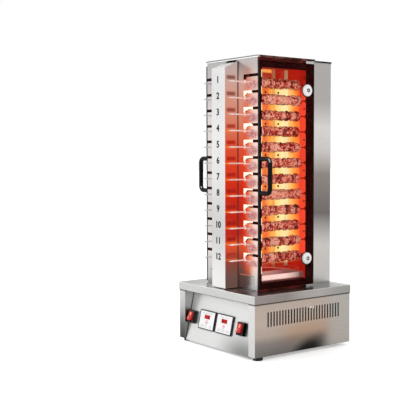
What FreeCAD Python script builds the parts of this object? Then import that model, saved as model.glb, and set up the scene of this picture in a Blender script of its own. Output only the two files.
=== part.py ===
"""Electric skewer grill: a steel base with the controls, and on it a tower with two heated
chambers side by side, each closed by a glass door and holding twelve turning skewers.

Frame: +Z up, origin on the floor under the middle of the base, -Y is the front, where the
numbered column and the control panel are, +X is the right-hand chamber. Millimetres.
"""
import FreeCAD, Part
import os
import Sketcher

SIZES = {
    # base cabinet
    "base_width": 470.0,
    "base_depth": 460.0,
    "base_height": 216.0,       # from the top of the feet to the deck
    "steel": 1.5,               # sheet thickness of every folded steel piece
    "fit_gap": 0.3,             # clearance between neighbouring pieces
    "deck_lip": 30.0,           # folded edge of the deck
    "post_width": 38.0,         # front flange of a side panel
    "post_return": 44.0,        # flange that goes back beside the control panel
    "rear_flange": 26.0,
    "rear_inset": 22.0,         # rear panel behind the edge of the deck
    "floor_flange": 14.0,
    "vent_width": 6.0,
    "vent_height": 52.0,
    "vent_pitch": 13.5,
    "vent_count": 26.0,
    "rear_vent_count": 13.0,
    "tower_vent_count": 9.0,
    "vent_drop": 61.0,          # deck to the top of the vents
    "foot_height": 12.0,
    "foot_radius": 17.5,
    "foot_inset": 20.0,         # from the sides, under the posts
    "foot_setback": 30.0,       # from the front and the rear
    "rear_foot_inset": 75.0,    # from the sides, under the floor plate
    # control panel, in its own tilted frame
    "panel_tilt": 12.5,
    "panel_setback": 2.0,       # foot of the panel behind the base's front
    "panel_drop": 5.0,          # foot of the panel below the side panels' floors
    "controls_shift": -18.0,    # middle between the switches
    "controls_height": 91.0,    # above the foot of the panel
    "switch_edge": 25.0,        # middle of the outer switch from the end of the panel
    "controllers_shift": -23.0, # middle between the controllers
    "controller_spacing": 53.4, # each side of their middle
    "controller_width": 97.0,
    "controller_height": 72.0,
    "controller_proud": 6.0,
    "controller_depth": 46.0,   # body behind the panel
    "bezel_border": 3.0,
    "switch_width": 38.0,
    "switch_height": 48.0,
    "switch_proud": 13.0,
    "switch_depth": 30.0,
    "rocker_width": 27.0,
    "rocker_height": 35.0,
    "rocker_throw": 12.0,       # degrees each side of level
    # tower
    "tower_height": 840.0,      # deck to roof
    "wall_front": 78.0,         # front walls behind the base's front
    "wall_half": 152.0,         # outer edge of a front wall
    "column_front": 18.0,
    "column_half": 40.5,
    "column_lift": 3.0,
    "column_height": 801.0,     # top of the number plate above the deck
    "column_top": 827.0,        # top of the column where it meets the walls
    "roof_half": 158.0,
    "roof_lip": 8.0,
    "core_half": 40.0,          # face of a heater reflector
    "drive_space": 85.0,        # chamber's rear wall to the rear edge of the deck
    "jamb_step": 31.5,          # post behind a door, in front of the rear wall
    "housing_half": 124.0,
    "wall_flange": 10.0,        # how far a chamber wall runs inside its core reflector
    "cable_passage": 30.0,      # square hole in the deck for the tower's leads
    # levels
    "level_count": 12.0,
    "level_pitch": 58.4,
    "first_slot": 128.5,        # lowest slot above the deck
    "slot_height": 10.5,
    "ramp_outer": 97.0,
    "ramp_drop": 9.0,
    "skewer_offset": 78.0,      # skewer axis from the middle of the tower
    "skewer_drop": 21.0,        # skewer axis below its slot
    "rod_width": 5.0,           # square rod
    "point_width": 0.8,
    "tip_front": 4.0,
    "tip_length": 14.0,
    "bush_radius": 7.5,
    "bush_overhang": 2.0,       # bush in front of and behind the front wall
    "meat_front": 86.0,
    "meat_end": 29.0,           # in front of the rear wall
    "meat_radius": 20.0,
    "socket_radius": 8.0,
    "socket_lead": 4.0,         # in front of the rear wall
    "socket_length": 21.0,      # the sockets end in the drive's chain
    "bearing_clearance": 0.05,
    # drive
    "chain_thickness": 3.0,
    "chain_width": 5.0,
    "gearbox_width": 60.0,
    "gearbox_height": 74.0,
    "gearbox_depth": 34.0,
    "motor_radius": 25.0,
    "standoff_radius": 3.0,
    # heating
    "tube_radius": 7.0,
    "tube_offset": 49.0,
    "tube_first": 113.0,
    "tube_pitch": 61.7,
    "tube_count": 4.0,
    "tube_foot": 68.0,
    "tube_top": 805.0,
    "holder_height": 12.0,
    "holder_width": 24.0,
    # doors
    "glass_inner": 155.0,
    "glass_thickness": 5.0,
    "frame_inner": 148.0,
    "door_front": 78.5,
    "door_gap": 3.0,            # in front of the post behind it
    "door_foot": 6.0,
    "door_top": 822.0,
    "border_front": 17.5,
    "border_rear": 31.0,
    "border_top": 24.0,
    "border_foot": 24.0,
    "tooth_inner": 125.5,
    "hinge_axis_x": 151.5,
    "hinge_inset": 14.5,        # in front of the door's rear edge
    "pivot_radius": 2.0,
    "pivot_length": 12.0,
    "pivot_block_length": 37.0,
    "disc_radius": 21.5,
    "disc_thickness": 9.0,
    "disc_bevel": 3.0,
    "gasket_radius": 25.0,
    "gasket_thickness": 2.0,
    "disc_inset": 37.5,         # in front of the door's rear edge
    "disc_low": 105.0,
    "disc_high": 724.0,
    "handle_y": 88.0,
    "handle_low": 352.0,
    "handle_high": 474.0,
    "handle_reach": 50.0,
    "handle_radius": 8.5,
    "handle_bend": 17.0,
    # drip drawers and deflectors
    "drawer_inner": 46.0,
    "drawer_outer": 133.0,
    "drawer_end": 29.5,         # in front of the post behind the door
    "drawer_height": 52.0,
    "drawer_wall": 1.0,
    "drawer_lip": 8.0,
    "deflector_inner": 66.0,
    "deflector_outer": 108.0,
    "deflector_front": 86.0,
    "deflector_rear": 56.0,
    "deflector_hook": 8.0,
    # services
    "relay_length": 60.0,
    "relay_width": 45.0,
    "relay_height": 26.0,
    "gland_radius": 11.0,
    "gland_bore": 5.0,
    "gland_reach": 18.0,
    "gland_nut": 6.0,
}


class Size:
    """A number that also carries the sheet expression which gives it."""

    def __init__(self, value, text):
        self.value = value
        self.text = text

    def _join(self, other, sign, value):
        return Size(value, f"({self.text} {sign} {as_size(other).text})")

    def __add__(self, other):
        return self._join(other, "+", self.value + as_size(other).value)

    def __sub__(self, other):
        return self._join(other, "-", self.value - as_size(other).value)

    def __mul__(self, other):
        return self._join(other, "*", self.value * as_size(other).value)

    def __truediv__(self, other):
        return self._join(other, "/", self.value / as_size(other).value)

    def __neg__(self):
        return as_size(0.0) - self

    __radd__ = __add__
    __rmul__ = __mul__

    def __rsub__(self, other):
        return as_size(other) - self


def as_size(number):
    return number if isinstance(number, Size) else Size(float(number), f"{float(number):.6g}")


doc = FreeCAD.newDocument("skewer_grill")
sheet = doc.addObject("Spreadsheet::Sheet", "Sizes")
for row, (alias, number) in enumerate(SIZES.items(), start=1):
    sheet.set(f"A{row}", alias)
    sheet.set(f"B{row}", str(number))
    sheet.setAlias(f"B{row}", alias)
doc.recompute()


class Dimensions:
    """Each alias of the sheet as a Size."""


dim = Dimensions()
for alias, number in SIZES.items():
    setattr(dim, alias, Size(number, f"Sizes.{alias}"))

nodes = {}


# ---------------------------------------------------------------- drawing helpers
def bind(item, prop, size):
    item.setExpression(prop, as_size(size).text)


def node(name, item):
    """Marks a document object as the sub-part that the file of this name holds."""
    item.Label = name
    nodes[name] = item
    return item


def put(item, x=0.0, y=0.0, z=0.0, axis=None, angle=0.0):
    """Places an object by expressions, with an optional turn about an axis."""
    if axis is not None:
        item.Placement = FreeCAD.Placement(FreeCAD.Vector(), FreeCAD.Rotation(axis, as_size(angle).value))
        bind(item, "Placement.Rotation.Angle", angle)
    for letter, size in zip("xyz", (x, y, z)):
        bind(item, f"Placement.Base.{letter}", size)
    return item


def box(name, x, y, z):
    """A box from three (low, high) pairs."""
    item = doc.addObject("Part::Box", name)
    for prop, (low, high) in zip(("Length", "Width", "Height"), (x, y, z)):
        bind(item, prop, as_size(high) - low)
    return put(item, x[0], y[0], z[0])


TURN = {"x": (FreeCAD.Vector(0, 1, 0), 90.0), "y": (FreeCAD.Vector(1, 0, 0), -90.0)}


def cylinder(name, radius, start, direction, length):
    """A cylinder that grows from start along +x, +y or +z."""
    item = doc.addObject("Part::Cylinder", name)
    bind(item, "Radius", radius)
    bind(item, "Height", length)
    axis, angle = TURN.get(direction, (None, 0.0))
    return put(item, *start, axis=axis, angle=angle)


def prism(name, sides, radius, start, direction, length):
    """A regular bar by its corner radius that grows from start along +x, +y or +z."""
    item = doc.addObject("Part::Prism", name)
    item.Polygon = sides
    bind(item, "Circumradius", radius)
    bind(item, "Height", length)
    axis, angle = TURN.get(direction, (None, 0.0))
    return put(item, *start, axis=axis, angle=angle)


def boolean(kind, name, base, *tools):
    """Cut takes tools from base, Fuse joins them all."""
    for number, tool in enumerate(tools):
        item = doc.addObject(f"Part::{kind}", f"{name}_{kind.lower()}{number}")
        item.Base = base
        item.Tool = tool
        base = item
    return base


def group(name, *members):
    item = doc.addObject("Part::Compound", name)
    item.Links = list(members)
    return item


def mirrored(name, source):
    """The left-hand twin of a right-hand piece."""
    item = doc.addObject("Part::Mirroring", name)
    item.Source = source
    item.Normal = FreeCAD.Vector(1, 0, 0)
    return item


def new_body(name):
    return doc.addObject("PartDesign::Body", name)


PLANES = {"z": "XY_Plane", "y": "XZ_Plane", "x": "YZ_Plane"}
OFFSET_SIGN = {"z": 1.0, "y": -1.0, "x": 1.0}


def sketch(body, normal, level):
    """An empty sketch across the named axis at the given level."""
    item = body.newObject("Sketcher::SketchObject", f"{body.Name}_sketch")
    plane = [feature for feature in body.Origin.OriginFeatures if feature.Role == PLANES[normal]][0]
    item.AttachmentSupport = (plane, [""])
    item.MapMode = "FlatFace"
    bind(item, "AttachmentOffset.Base.z", as_size(level) * OFFSET_SIGN[normal])
    return item


def pin_point(item, geometry, end, point, kinds=("DistanceX", "DistanceY")):
    """Holds one sketch point at an expression for each coordinate that is given."""
    for kind, size in zip(kinds, point):
        index = item.addConstraint(Sketcher.Constraint(kind, -1, 1, geometry, end, as_size(size).value))
        bind(item, f"Constraints[{index}]", size)


def draw_polygon(item, points):
    corners = [FreeCAD.Vector(as_size(u).value, as_size(v).value, 0) for u, v in points]
    first = item.GeometryCount
    count = len(points)
    for number in range(count):
        item.addGeometry(Part.LineSegment(corners[number], corners[(number + 1) % count]))
    for number in range(count):
        following = first + (number + 1) % count
        item.addConstraint(Sketcher.Constraint("Coincident", first + number, 2, following, 1))
        pin_point(item, first + number, 1, points[number])


def draw_circle(item, centre, radius):
    middle = FreeCAD.Vector(as_size(centre[0]).value, as_size(centre[1]).value, 0)
    circle = Part.Circle(middle, FreeCAD.Vector(0, 0, 1), as_size(radius).value)
    geometry = item.addGeometry(circle)
    index = item.addConstraint(Sketcher.Constraint("Radius", geometry, as_size(radius).value))
    bind(item, f"Constraints[{index}]", radius)
    pin_point(item, geometry, 3, centre)


def pad(body, item, normal, length):
    """Grows a sketch along the plus direction of its axis."""
    feature = body.newObject("PartDesign::Pad", f"{body.Name}_pad")
    feature.Profile = item
    feature.Reversed = normal == "y"
    bind(feature, "Length", length)
    return feature


def pocket(body, item, normal, length):
    """Cuts a sketch along the plus direction of its axis."""
    feature = body.newObject("PartDesign::Pocket", f"{body.Name}_pocket")
    feature.Profile = item
    feature.Reversed = normal != "y"
    bind(feature, "Length", length)
    return feature


def pattern(body, feature, item, axis, pitch, count):
    """Repeats a feature along an axis of its sketch."""
    row = body.newObject("PartDesign::LinearPattern", f"{body.Name}_row")
    row.Originals = [feature]
    row.Direction = (item, [axis])
    bind(row, "Length", pitch * (count - 1.0))
    bind(row, "Occurrences", count)
    body.Tip = row
    return row


def extrusion(name, normal, points, start, length):
    """A body made of one polygon, from a level along the plus direction of an axis."""
    body = new_body(name)
    item = sketch(body, normal, start)
    draw_polygon(item, points)
    pad(body, item, normal, length)
    return body


def cut_polygon(body, normal, points, start, length):
    item = sketch(body, normal, start)
    draw_polygon(item, points)
    return item, pocket(body, item, normal, length)


def cut_circle(body, normal, centre, radius, start, length):
    item = sketch(body, normal, start)
    draw_circle(item, centre, radius)
    return item, pocket(body, item, normal, length)


def rectangle(low, high):
    return [(low[0], low[1]), (high[0], low[1]), (high[0], high[1]), (low[0], high[1])]


def ring_of_twelve(centre, inner):
    """A twelve-sided outline by the distance from its centre to its flats."""
    across = (inner, inner * 0.7320508, inner * 0.2679492)
    far, middle, near = across[0], across[1], across[2]
    turns = ((far, near), (middle, middle), (near, far), (-near, far), (-middle, middle), (-far, near),
             (-far, -near), (-middle, -middle), (-near, -far), (near, -far), (middle, -middle), (far, -near))
    return [(centre[0] + u, centre[1] + v) for u, v in turns]


def check_cut(body, before):
    """A cut that points away from the solid removes nothing, which would pass unseen."""
    doc.recompute()
    if body.Shape.Volume > before - 1.0:
        raise RuntimeError(f"{body.Name}: a cut removed nothing")


# ---------------------------------------------------------------- places that pieces share
deck = dim.foot_height + dim.base_height
roof = deck + dim.tower_height
front = -dim.base_depth / 2.0
rear = dim.base_depth / 2.0
half_width = dim.base_width / 2.0
side_face = half_width - dim.steel - dim.fit_gap
wall_y = front + dim.wall_front
wall_back = wall_y + dim.steel
wall_top = roof - dim.steel
rear_wall_y = rear - dim.drive_space
cover_y = rear - dim.steel - dim.fit_gap
jamb_y = rear_wall_y - dim.jamb_step
door_rear = jamb_y - dim.door_gap
hinge_y = door_rear - dim.hinge_inset
socket_y = rear_wall_y - dim.socket_lead
socket_end = socket_y + dim.socket_length
post_inner = half_width - dim.post_width
panel_half = post_inner - dim.fit_gap
switch_spacing = post_inner + dim.controls_shift - dim.switch_edge
skewer_top = deck + dim.first_slot + dim.level_pitch * (dim.level_count - 1.0) - dim.skewer_drop
skewer_low = deck + dim.first_slot - dim.skewer_drop


# ---------------------------------------------------------------- base cabinet
def make_base():
    low = deck - dim.deck_lip
    body = new_body("deck_body")
    outline = sketch(body, "z", low)
    draw_polygon(outline, rectangle((-half_width, front), (half_width, rear)))
    pad(body, outline, "z", dim.deck_lip)
    doc.recompute()
    before = body.Shape.Volume
    inner = rectangle((-half_width + dim.steel, front + dim.steel),
                      (half_width - dim.steel, rear - dim.steel))
    cut_polygon(body, "z", inner, low, dim.deck_lip - dim.steel)
    check_cut(body, before)
    before = body.Shape.Volume
    cable_y = (rear_wall_y + rear) / 2.0
    reach = dim.cable_passage / 2.0
    passage = rectangle((-reach, cable_y - reach), (reach, cable_y + reach))
    cut_polygon(body, "z", passage, low, dim.deck_lip)
    check_cut(body, before)
    node("base_top_plate", body)

    top = deck - dim.steel
    bottom = dim.foot_height
    face_y = front + dim.steel + dim.fit_gap
    back_y = rear - dim.steel - dim.fit_gap
    steel = dim.steel
    outline = [
        (side_face, back_y), (side_face, face_y), (post_inner, face_y), (post_inner, front + dim.post_return),
        (post_inner + steel, front + dim.post_return), (post_inner + steel, face_y + steel),
        (side_face - steel, face_y + steel), (side_face - steel, back_y - steel),
        (side_face - dim.rear_flange, back_y - steel), (side_face - dim.rear_flange, back_y),
    ]
    side = extrusion("side_body", "z", outline, bottom, top - bottom)
    post_floor = sketch(side, "z", bottom)
    draw_polygon(post_floor, rectangle((post_inner, face_y), (side_face, front + dim.post_return)))
    pad(side, post_floor, "z", steel)
    doc.recompute()
    before = side.Shape.Volume
    slot = vent_slot(dim.vent_count)
    item, cut = cut_polygon(side, "x", slot, side_face - steel * 2.0, steel * 3.0)
    pattern(side, cut, item, "H_Axis", dim.vent_pitch, dim.vent_count)
    check_cut(side, before)
    node("base_side_right", side)
    node("base_side_left", mirrored("side_twin", side))

    make_rear_panel(bottom + steel, top)
    tray = new_body("floor_body")
    outline = sketch(tray, "z", bottom)
    floor_half = side_face - steel - dim.fit_gap
    floor_front = front + dim.post_return + dim.fit_gap
    floor_rear = rear - dim.rear_inset - steel - dim.fit_gap
    draw_polygon(outline, rectangle((-floor_half, floor_front), (floor_half, floor_rear)))
    pad(tray, outline, "z", dim.floor_flange)
    inside = rectangle((-floor_half + steel, floor_front + steel), (floor_half - steel, floor_rear - steel))
    cut_polygon(tray, "z", inside, bottom + steel, dim.floor_flange)
    node("base_floor_plate", tray)
    make_feet()


def vent_slot(count):
    """The first slot of a centred row in the base's side or rear."""
    middle = -dim.vent_pitch * (count - 1.0) / 2.0
    top = deck - dim.vent_drop
    half = dim.vent_width / 2.0
    return rectangle((middle - half, top - dim.vent_height), (middle + half, top))


def make_rear_panel(bottom, top):
    """A plate between the side panels, with flanges at its top and foot, set in from the deck's edge."""
    face = rear - dim.rear_inset
    flange = face + dim.floor_flange
    steel = dim.steel
    half = side_face - steel - dim.fit_gap
    outline = [
        (face - steel, bottom), (flange, bottom), (flange, bottom + steel), (face, bottom + steel),
        (face, top - steel), (flange, top - steel), (flange, top), (face - steel, top),
    ]
    body = extrusion("rear_panel_body", "x", outline, -half, half * 2.0)
    doc.recompute()
    before = body.Shape.Volume
    item, cut = cut_polygon(body, "y", vent_slot(dim.rear_vent_count), face - steel * 2.0, steel * 3.0)
    pattern(body, cut, item, "H_Axis", dim.vent_pitch, dim.rear_vent_count)
    check_cut(body, before)
    cut_polygon(body, "y", ring_of_twelve(gland_place(), gland_neck()), face - steel * 2.0, steel * 3.0)
    node("base_rear_panel", body)


def gland_place():
    return (-half_width + 70.0, dim.foot_height + 55.0)


def make_gland():
    """The mains lead's gland: a nut inside the rear panel, a hexagon and a cap outside, bored through."""
    face = rear - dim.rear_inset
    x, z = gland_place()
    neck = gland_neck()
    inside = face - dim.steel - dim.gland_nut
    cap = face + dim.gland_nut
    parts = [prism("gland_neck", 16, neck - dim.fit_gap, (x, inside, z), "y", cap - inside),
             prism("gland_nut", 6, neck + 3.0, (x, inside, z), "y", dim.gland_nut),
             prism("gland_hexagon", 6, dim.gland_radius + 2.0, (x, face, z), "y", dim.gland_nut),
             prism("gland_cap", 16, dim.gland_radius, (x, cap, z), "y", dim.gland_reach - dim.gland_nut)]
    whole = boolean("Fuse", "gland", *parts)
    bore = prism("gland_bore", 12, dim.gland_bore, (x, inside - 1.0, z), "y", dim.gland_reach * 3.0)
    node("cable_gland", boolean("Cut", "gland_bored", whole, bore))


def gland_neck():
    return dim.gland_radius - 2.0


def make_feet():
    """Four rubber feet: the front ones under the posts' floors, the rear ones under the floor plate."""
    feet = []
    for x_sign in (-1.0, 1.0):
        for y_sign in (-1.0, 1.0):
            inset = dim.foot_inset if y_sign < 0.0 else dim.rear_foot_inset
            x = (half_width - inset) * x_sign
            y = (rear - dim.foot_setback) * y_sign
            feet.append(prism("foot", 12, dim.foot_radius, (x, y, 0.0), "z", dim.foot_height))
    node("rubber_feet", group("feet_group", *feet))


# ---------------------------------------------------------------- control panel
def panel_frame(item, x=0.0, y=0.0, z=0.0, turn=0.0):
    """Places an object that was drawn in the control panel's own frame, where y is depth and z is up
    the panel's face. x, y and z move it within that frame."""
    foot_y = front + dim.panel_setback + dim.steel + dim.fit_gap
    foot_z = dim.foot_height + dim.steel - dim.panel_drop
    x, y, z = as_size(x), as_size(y), as_size(z)
    tilt = dim.panel_tilt
    sine = Size(FreeCAD.Rotation(FreeCAD.Vector(0, 0, 1), tilt.value).multVec(FreeCAD.Vector(1, 0, 0)).y,
                f"sin({tilt.text})")
    cosine = Size(FreeCAD.Rotation(FreeCAD.Vector(0, 0, 1), tilt.value).multVec(FreeCAD.Vector(1, 0, 0)).x,
                  f"cos({tilt.text})")
    y_world = foot_y + y * cosine + z * sine
    z_world = foot_z - y * sine + z * cosine
    put(item, x, y_world, z_world, axis=FreeCAD.Vector(1, 0, 0), angle=as_size(turn) - tilt)
    return item


def panel_length():
    """Length of the panel's face, from its foot to just under the deck."""
    tilt = dim.panel_tilt
    cosine = Size(FreeCAD.Rotation(FreeCAD.Vector(0, 0, 1), tilt.value).multVec(FreeCAD.Vector(1, 0, 0)).x,
                  f"cos({tilt.text})")
    return (deck - dim.steel * 2.0 - dim.fit_gap - dim.foot_height + dim.panel_drop) / cosine - dim.steel


def make_control_panel():
    steel = dim.steel
    length = panel_length()
    body = extrusion("panel_body", "x",
                     [(0.0, 0.0), (dim.floor_flange, 0.0), (dim.floor_flange, steel), (steel, steel),
                      (steel, length - steel), (dim.floor_flange, length - steel), (dim.floor_flange, length),
                      (0.0, length)],
                     -panel_half, panel_half * 2.0)
    doc.recompute()
    before = body.Shape.Volume
    height = dim.controls_height
    openings = []
    for sign in (-1.0, 1.0):
        openings.append((dim.controls_shift + switch_spacing * sign,
                         dim.rocker_width / 2.0 + 3.0, dim.switch_height / 2.0 - 4.0))
        openings.append((dim.controllers_shift + dim.controller_spacing * sign,
                         dim.controller_width / 2.0 - 6.0, dim.controller_height / 2.0 - 6.0))
    for middle, half_x, half_z in openings:
        corners = rectangle((middle - half_x, height - half_z), (middle + half_x, height + half_z))
        cut_polygon(body, "y", corners, -steel, steel * 3.0)
    check_cut(body, before)
    panel_frame(body)
    node("control_panel", body)


def make_controllers():
    """Two temperature controllers: a bezel with a recess for the keypad, and the case behind the panel."""
    made = []
    for sign in (-1.0, 1.0):
        half_x = dim.controller_width / 2.0
        half_z = dim.controller_height / 2.0
        body = new_body("controller_body")
        outline = sketch(body, "y", -dim.controller_proud)
        draw_polygon(outline, rectangle((-half_x, -half_z), (half_x, half_z)))
        bezel = pad(body, outline, "y", dim.controller_proud)
        doc.recompute()
        edges = [f"Edge{number + 1}" for number, edge in enumerate(bezel.Shape.Edges)
                 if abs(edge.Vertexes[0].Y - edge.Vertexes[1].Y) > 1.0]
        rounding = body.newObject("PartDesign::Fillet", "controller_corners")
        rounding.Base = (bezel, edges)
        bind(rounding, "Radius", dim.bezel_border)
        face = rectangle((-half_x + dim.bezel_border, -half_z + dim.bezel_border),
                         (half_x - dim.bezel_border, half_z - dim.bezel_border))
        cut_polygon(body, "y", face, -dim.controller_proud, dim.steel)
        case = sketch(body, "y", 0.0)
        case_x = half_x - 6.0 - dim.fit_gap
        case_z = half_z - 6.0 - dim.fit_gap
        draw_polygon(case, rectangle((-case_x, -case_z), (case_x, case_z)))
        pad(body, case, "y", dim.controller_depth)
        panel_frame(body, dim.controllers_shift + dim.controller_spacing * sign, 0.0, dim.controls_height)
        made.append(body)
    node("temperature_controllers", group("controllers_group", *made))


def rocker_outline():
    """Side view of a rocker about its pivot: a shallow V in front, a rounded back."""
    half = dim.rocker_height / 2.0
    return [(-12.5, -half), (-10.0, 0.0), (-12.5, half), (0.0, half), (5.0, 7.0), (5.0, -7.0), (0.0, -half)]


def make_switches():
    """Two rocker switches: a chamfered housing with a well, and a rocker that tips in it."""
    pivot_depth = -8.0
    housings = []
    for side, sign in (("left", -1.0), ("right", 1.0)):
        middle = dim.controls_shift + switch_spacing * sign
        half_x = dim.switch_width / 2.0
        half_z = dim.switch_height / 2.0
        body = new_body("switch_body")
        outline = sketch(body, "y", -dim.switch_proud)
        draw_polygon(outline, rectangle((-half_x, -half_z), (half_x, half_z)))
        rim = pad(body, outline, "y", dim.switch_proud)
        doc.recompute()
        front_edges = [f"Edge{number + 1}" for number, edge in enumerate(rim.Shape.Edges)
                       if edge.BoundBox.YMax < -dim.switch_proud.value + 0.1]
        bevel = body.newObject("PartDesign::Chamfer", "switch_bevel")
        bevel.Base = (rim, front_edges)
        bevel.Size = 2.5
        case = sketch(body, "y", 0.0)
        case_x = dim.rocker_width / 2.0 + 3.0 - dim.fit_gap
        case_z = half_z - 4.0 - dim.fit_gap
        draw_polygon(case, rectangle((-case_x, -case_z), (case_x, case_z)))
        pad(body, case, "y", dim.switch_depth)
        doc.recompute()
        before = body.Shape.Volume
        well_x = dim.rocker_width / 2.0 + dim.fit_gap
        well_z = dim.rocker_height / 2.0 + 2.6
        cut_polygon(body, "y", rectangle((-well_x, -well_z), (well_x, well_z)), -dim.switch_proud,
                    dim.switch_proud - 1.0)
        check_cut(body, before)
        panel_frame(body, middle, 0.0, dim.controls_height)
        housings.append(body)
        rocker = extrusion("rocker_body", "x", rocker_outline(), -dim.rocker_width / 2.0, dim.rocker_width)
        panel_frame(rocker, middle, pivot_depth, dim.controls_height, -dim.rocker_throw)
        node(f"rocker_{side}", rocker)
    node("switch_housings", group("switches_group", *housings))


def make_relays():
    """Two heater relays with finned heat sinks and a terminal block, on the floor plate."""
    floor = dim.foot_height + dim.steel
    parts = []
    top = floor + dim.relay_height
    for x in (-90.0, 20.0):
        sink = box("relay", (x, dim.relay_length + x), (0.0, dim.relay_width), (floor, top))
        slot = box("relay_slot", (dim.relay_length * 0.4 + x, dim.relay_length * 0.6 + x),
                   (-1.0, dim.relay_width + 1.0), (floor + dim.relay_height * 0.5, top + 1.0))
        parts.append(boolean("Cut", "relay_cut", sink, slot))
    parts.append(box("terminal_block", (-60.0, 60.0), (dim.relay_width + 20.0, dim.relay_width + 44.0),
                     (floor, floor + 20.0)))
    node("power_relays", group("relays_group", *parts))


# ---------------------------------------------------------------- tower shell
def make_column():
    """The numbered column: one folded sheet, its sides and sloped top running back to the front walls."""
    y0 = front + dim.column_front
    steel = dim.steel
    low = deck + dim.column_lift
    high = deck + dim.column_height
    peak = deck + dim.column_top
    body = extrusion("column_body", "x", [(y0, low), (wall_y, low), (wall_y, peak), (y0, high)],
                     -dim.column_half, dim.column_half * 2.0)
    doc.recompute()
    before = body.Shape.Volume
    slope_drop = steel * 1.1
    hollow = [(y0 + steel, low - 1.0), (wall_y + 1.0, low - 1.0), (wall_y + 1.0, peak - slope_drop),
              (wall_y, peak - slope_drop), (y0 + steel, high - slope_drop + steel * 0.43)]
    cut_polygon(body, "x", hollow, -dim.column_half + steel, (dim.column_half - steel) * 2.0)
    check_cut(body, before)
    node("number_column", body)


def make_front_walls():
    """A sheet with twelve J-shaped slots, open at the door's edge, and a notch for the drip drawer."""
    steel = dim.steel
    gap = dim.fit_gap
    inner = dim.core_half - dim.wall_flange
    notch_top = deck + dim.drawer_height + 2.0
    outline = [(inner, deck), (dim.drawer_inner - 1.0, deck), (dim.drawer_inner - 1.0, notch_top),
               (dim.drawer_outer + 1.0, notch_top), (dim.drawer_outer + 1.0, deck), (dim.wall_half, deck),
               (dim.wall_half, wall_top), (inner, wall_top)]
    body = extrusion("front_wall_body", "y", outline, wall_y, steel)
    doc.recompute()
    before = body.Shape.Volume
    middle = deck + dim.first_slot
    top = middle + dim.slot_height / 2.0
    low = middle - dim.slot_height / 2.0
    seat = middle - dim.skewer_drop
    room = dim.bush_radius + gap
    corner = room * 0.41421356
    axis = dim.skewer_offset
    shape = [(dim.wall_half + 1.0, top), (axis - room, top), (axis - room, seat - corner),
             (axis - corner, seat - room), (axis + corner, seat - room), (axis + room, seat - corner),
             (axis + room, low - dim.ramp_drop), (dim.ramp_outer, low), (dim.wall_half + 1.0, low)]
    item, cut = cut_polygon(body, "y", shape, wall_y - steel, steel * 3.0)
    pattern(body, cut, item, "V_Axis", dim.level_pitch, dim.level_count)
    check_cut(body, before)
    node("front_wall_right", body)
    node("front_wall_left", mirrored("front_wall_twin", body))


def make_rear_walls():
    """The chamber's rear wall, stepped forward to the door post, with a bearing hole for each socket."""
    steel = dim.steel
    cheek = dim.housing_half - steel
    inner = dim.core_half - dim.wall_flange
    outline = [(inner, rear_wall_y), (cheek - steel, rear_wall_y), (cheek - steel, jamb_y),
               (dim.wall_half, jamb_y), (dim.wall_half, jamb_y + steel), (cheek, jamb_y + steel),
               (cheek, rear_wall_y + steel), (inner, rear_wall_y + steel)]
    body = extrusion("rear_wall_body", "z", outline, deck, wall_top - deck)
    doc.recompute()
    before = body.Shape.Volume
    ring = ring_of_twelve((dim.skewer_offset, skewer_low), dim.socket_radius + dim.bearing_clearance)
    item, hole = cut_polygon(body, "y", ring, rear_wall_y - steel, steel * 3.0)
    pattern(body, hole, item, "V_Axis", dim.level_pitch, dim.level_count)
    check_cut(body, before)
    node("rear_walls", group("rear_walls_group", body, mirrored("rear_wall_twin", body)))


def make_housing():
    """The drive's cover behind the chambers: a sheet folded round three sides."""
    steel = dim.steel
    outer = dim.housing_half
    start = jamb_y + steel
    back = cover_y
    outline = [(-outer, start), (-outer, back), (outer, back), (outer, start), (outer - steel, start),
               (outer - steel, back - steel), (-outer + steel, back - steel), (-outer + steel, start)]
    body = extrusion("housing_body", "z", outline, deck, wall_top - deck)
    doc.recompute()
    before = body.Shape.Volume
    for level in (deck + 40.0, wall_top - 40.0 - dim.vent_height):
        middle = -dim.vent_pitch * (dim.tower_vent_count - 1.0) / 2.0
        slot = rectangle((middle - dim.vent_width / 2.0, level),
                         (middle + dim.vent_width / 2.0, level + dim.vent_height))
        item, cut = cut_polygon(body, "y", slot, back - steel * 2.0, steel * 3.0)
        pattern(body, cut, item, "H_Axis", dim.vent_pitch, dim.tower_vent_count)
    check_cut(body, before)
    node("rear_housing", body)


def make_roof():
    """A pan over the chambers and the drive, its edges folded down."""
    steel = dim.steel
    low = roof - dim.roof_lip
    wide = dim.roof_half
    narrow = dim.housing_half + steel + dim.fit_gap
    y0 = wall_y - steel - dim.fit_gap
    step = jamb_y + steel * 2.0
    y1 = rear
    body = extrusion("roof_body", "z",
                     [(-wide, y0), (wide, y0), (wide, step), (narrow, step), (narrow, y1), (-narrow, y1),
                      (-narrow, step), (-wide, step)], low, dim.roof_lip)
    doc.recompute()
    before = body.Shape.Volume
    inset = steel
    cut_polygon(body, "z",
                [(-wide + inset, y0 + inset), (wide - inset, y0 + inset), (wide - inset, step - inset),
                 (narrow - inset, step - inset), (narrow - inset, y1 - inset), (-narrow + inset, y1 - inset),
                 (-narrow + inset, step - inset), (-wide + inset, step - inset)], low, dim.roof_lip - steel)
    check_cut(body, before)
    node("roof_plate", body)


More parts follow.
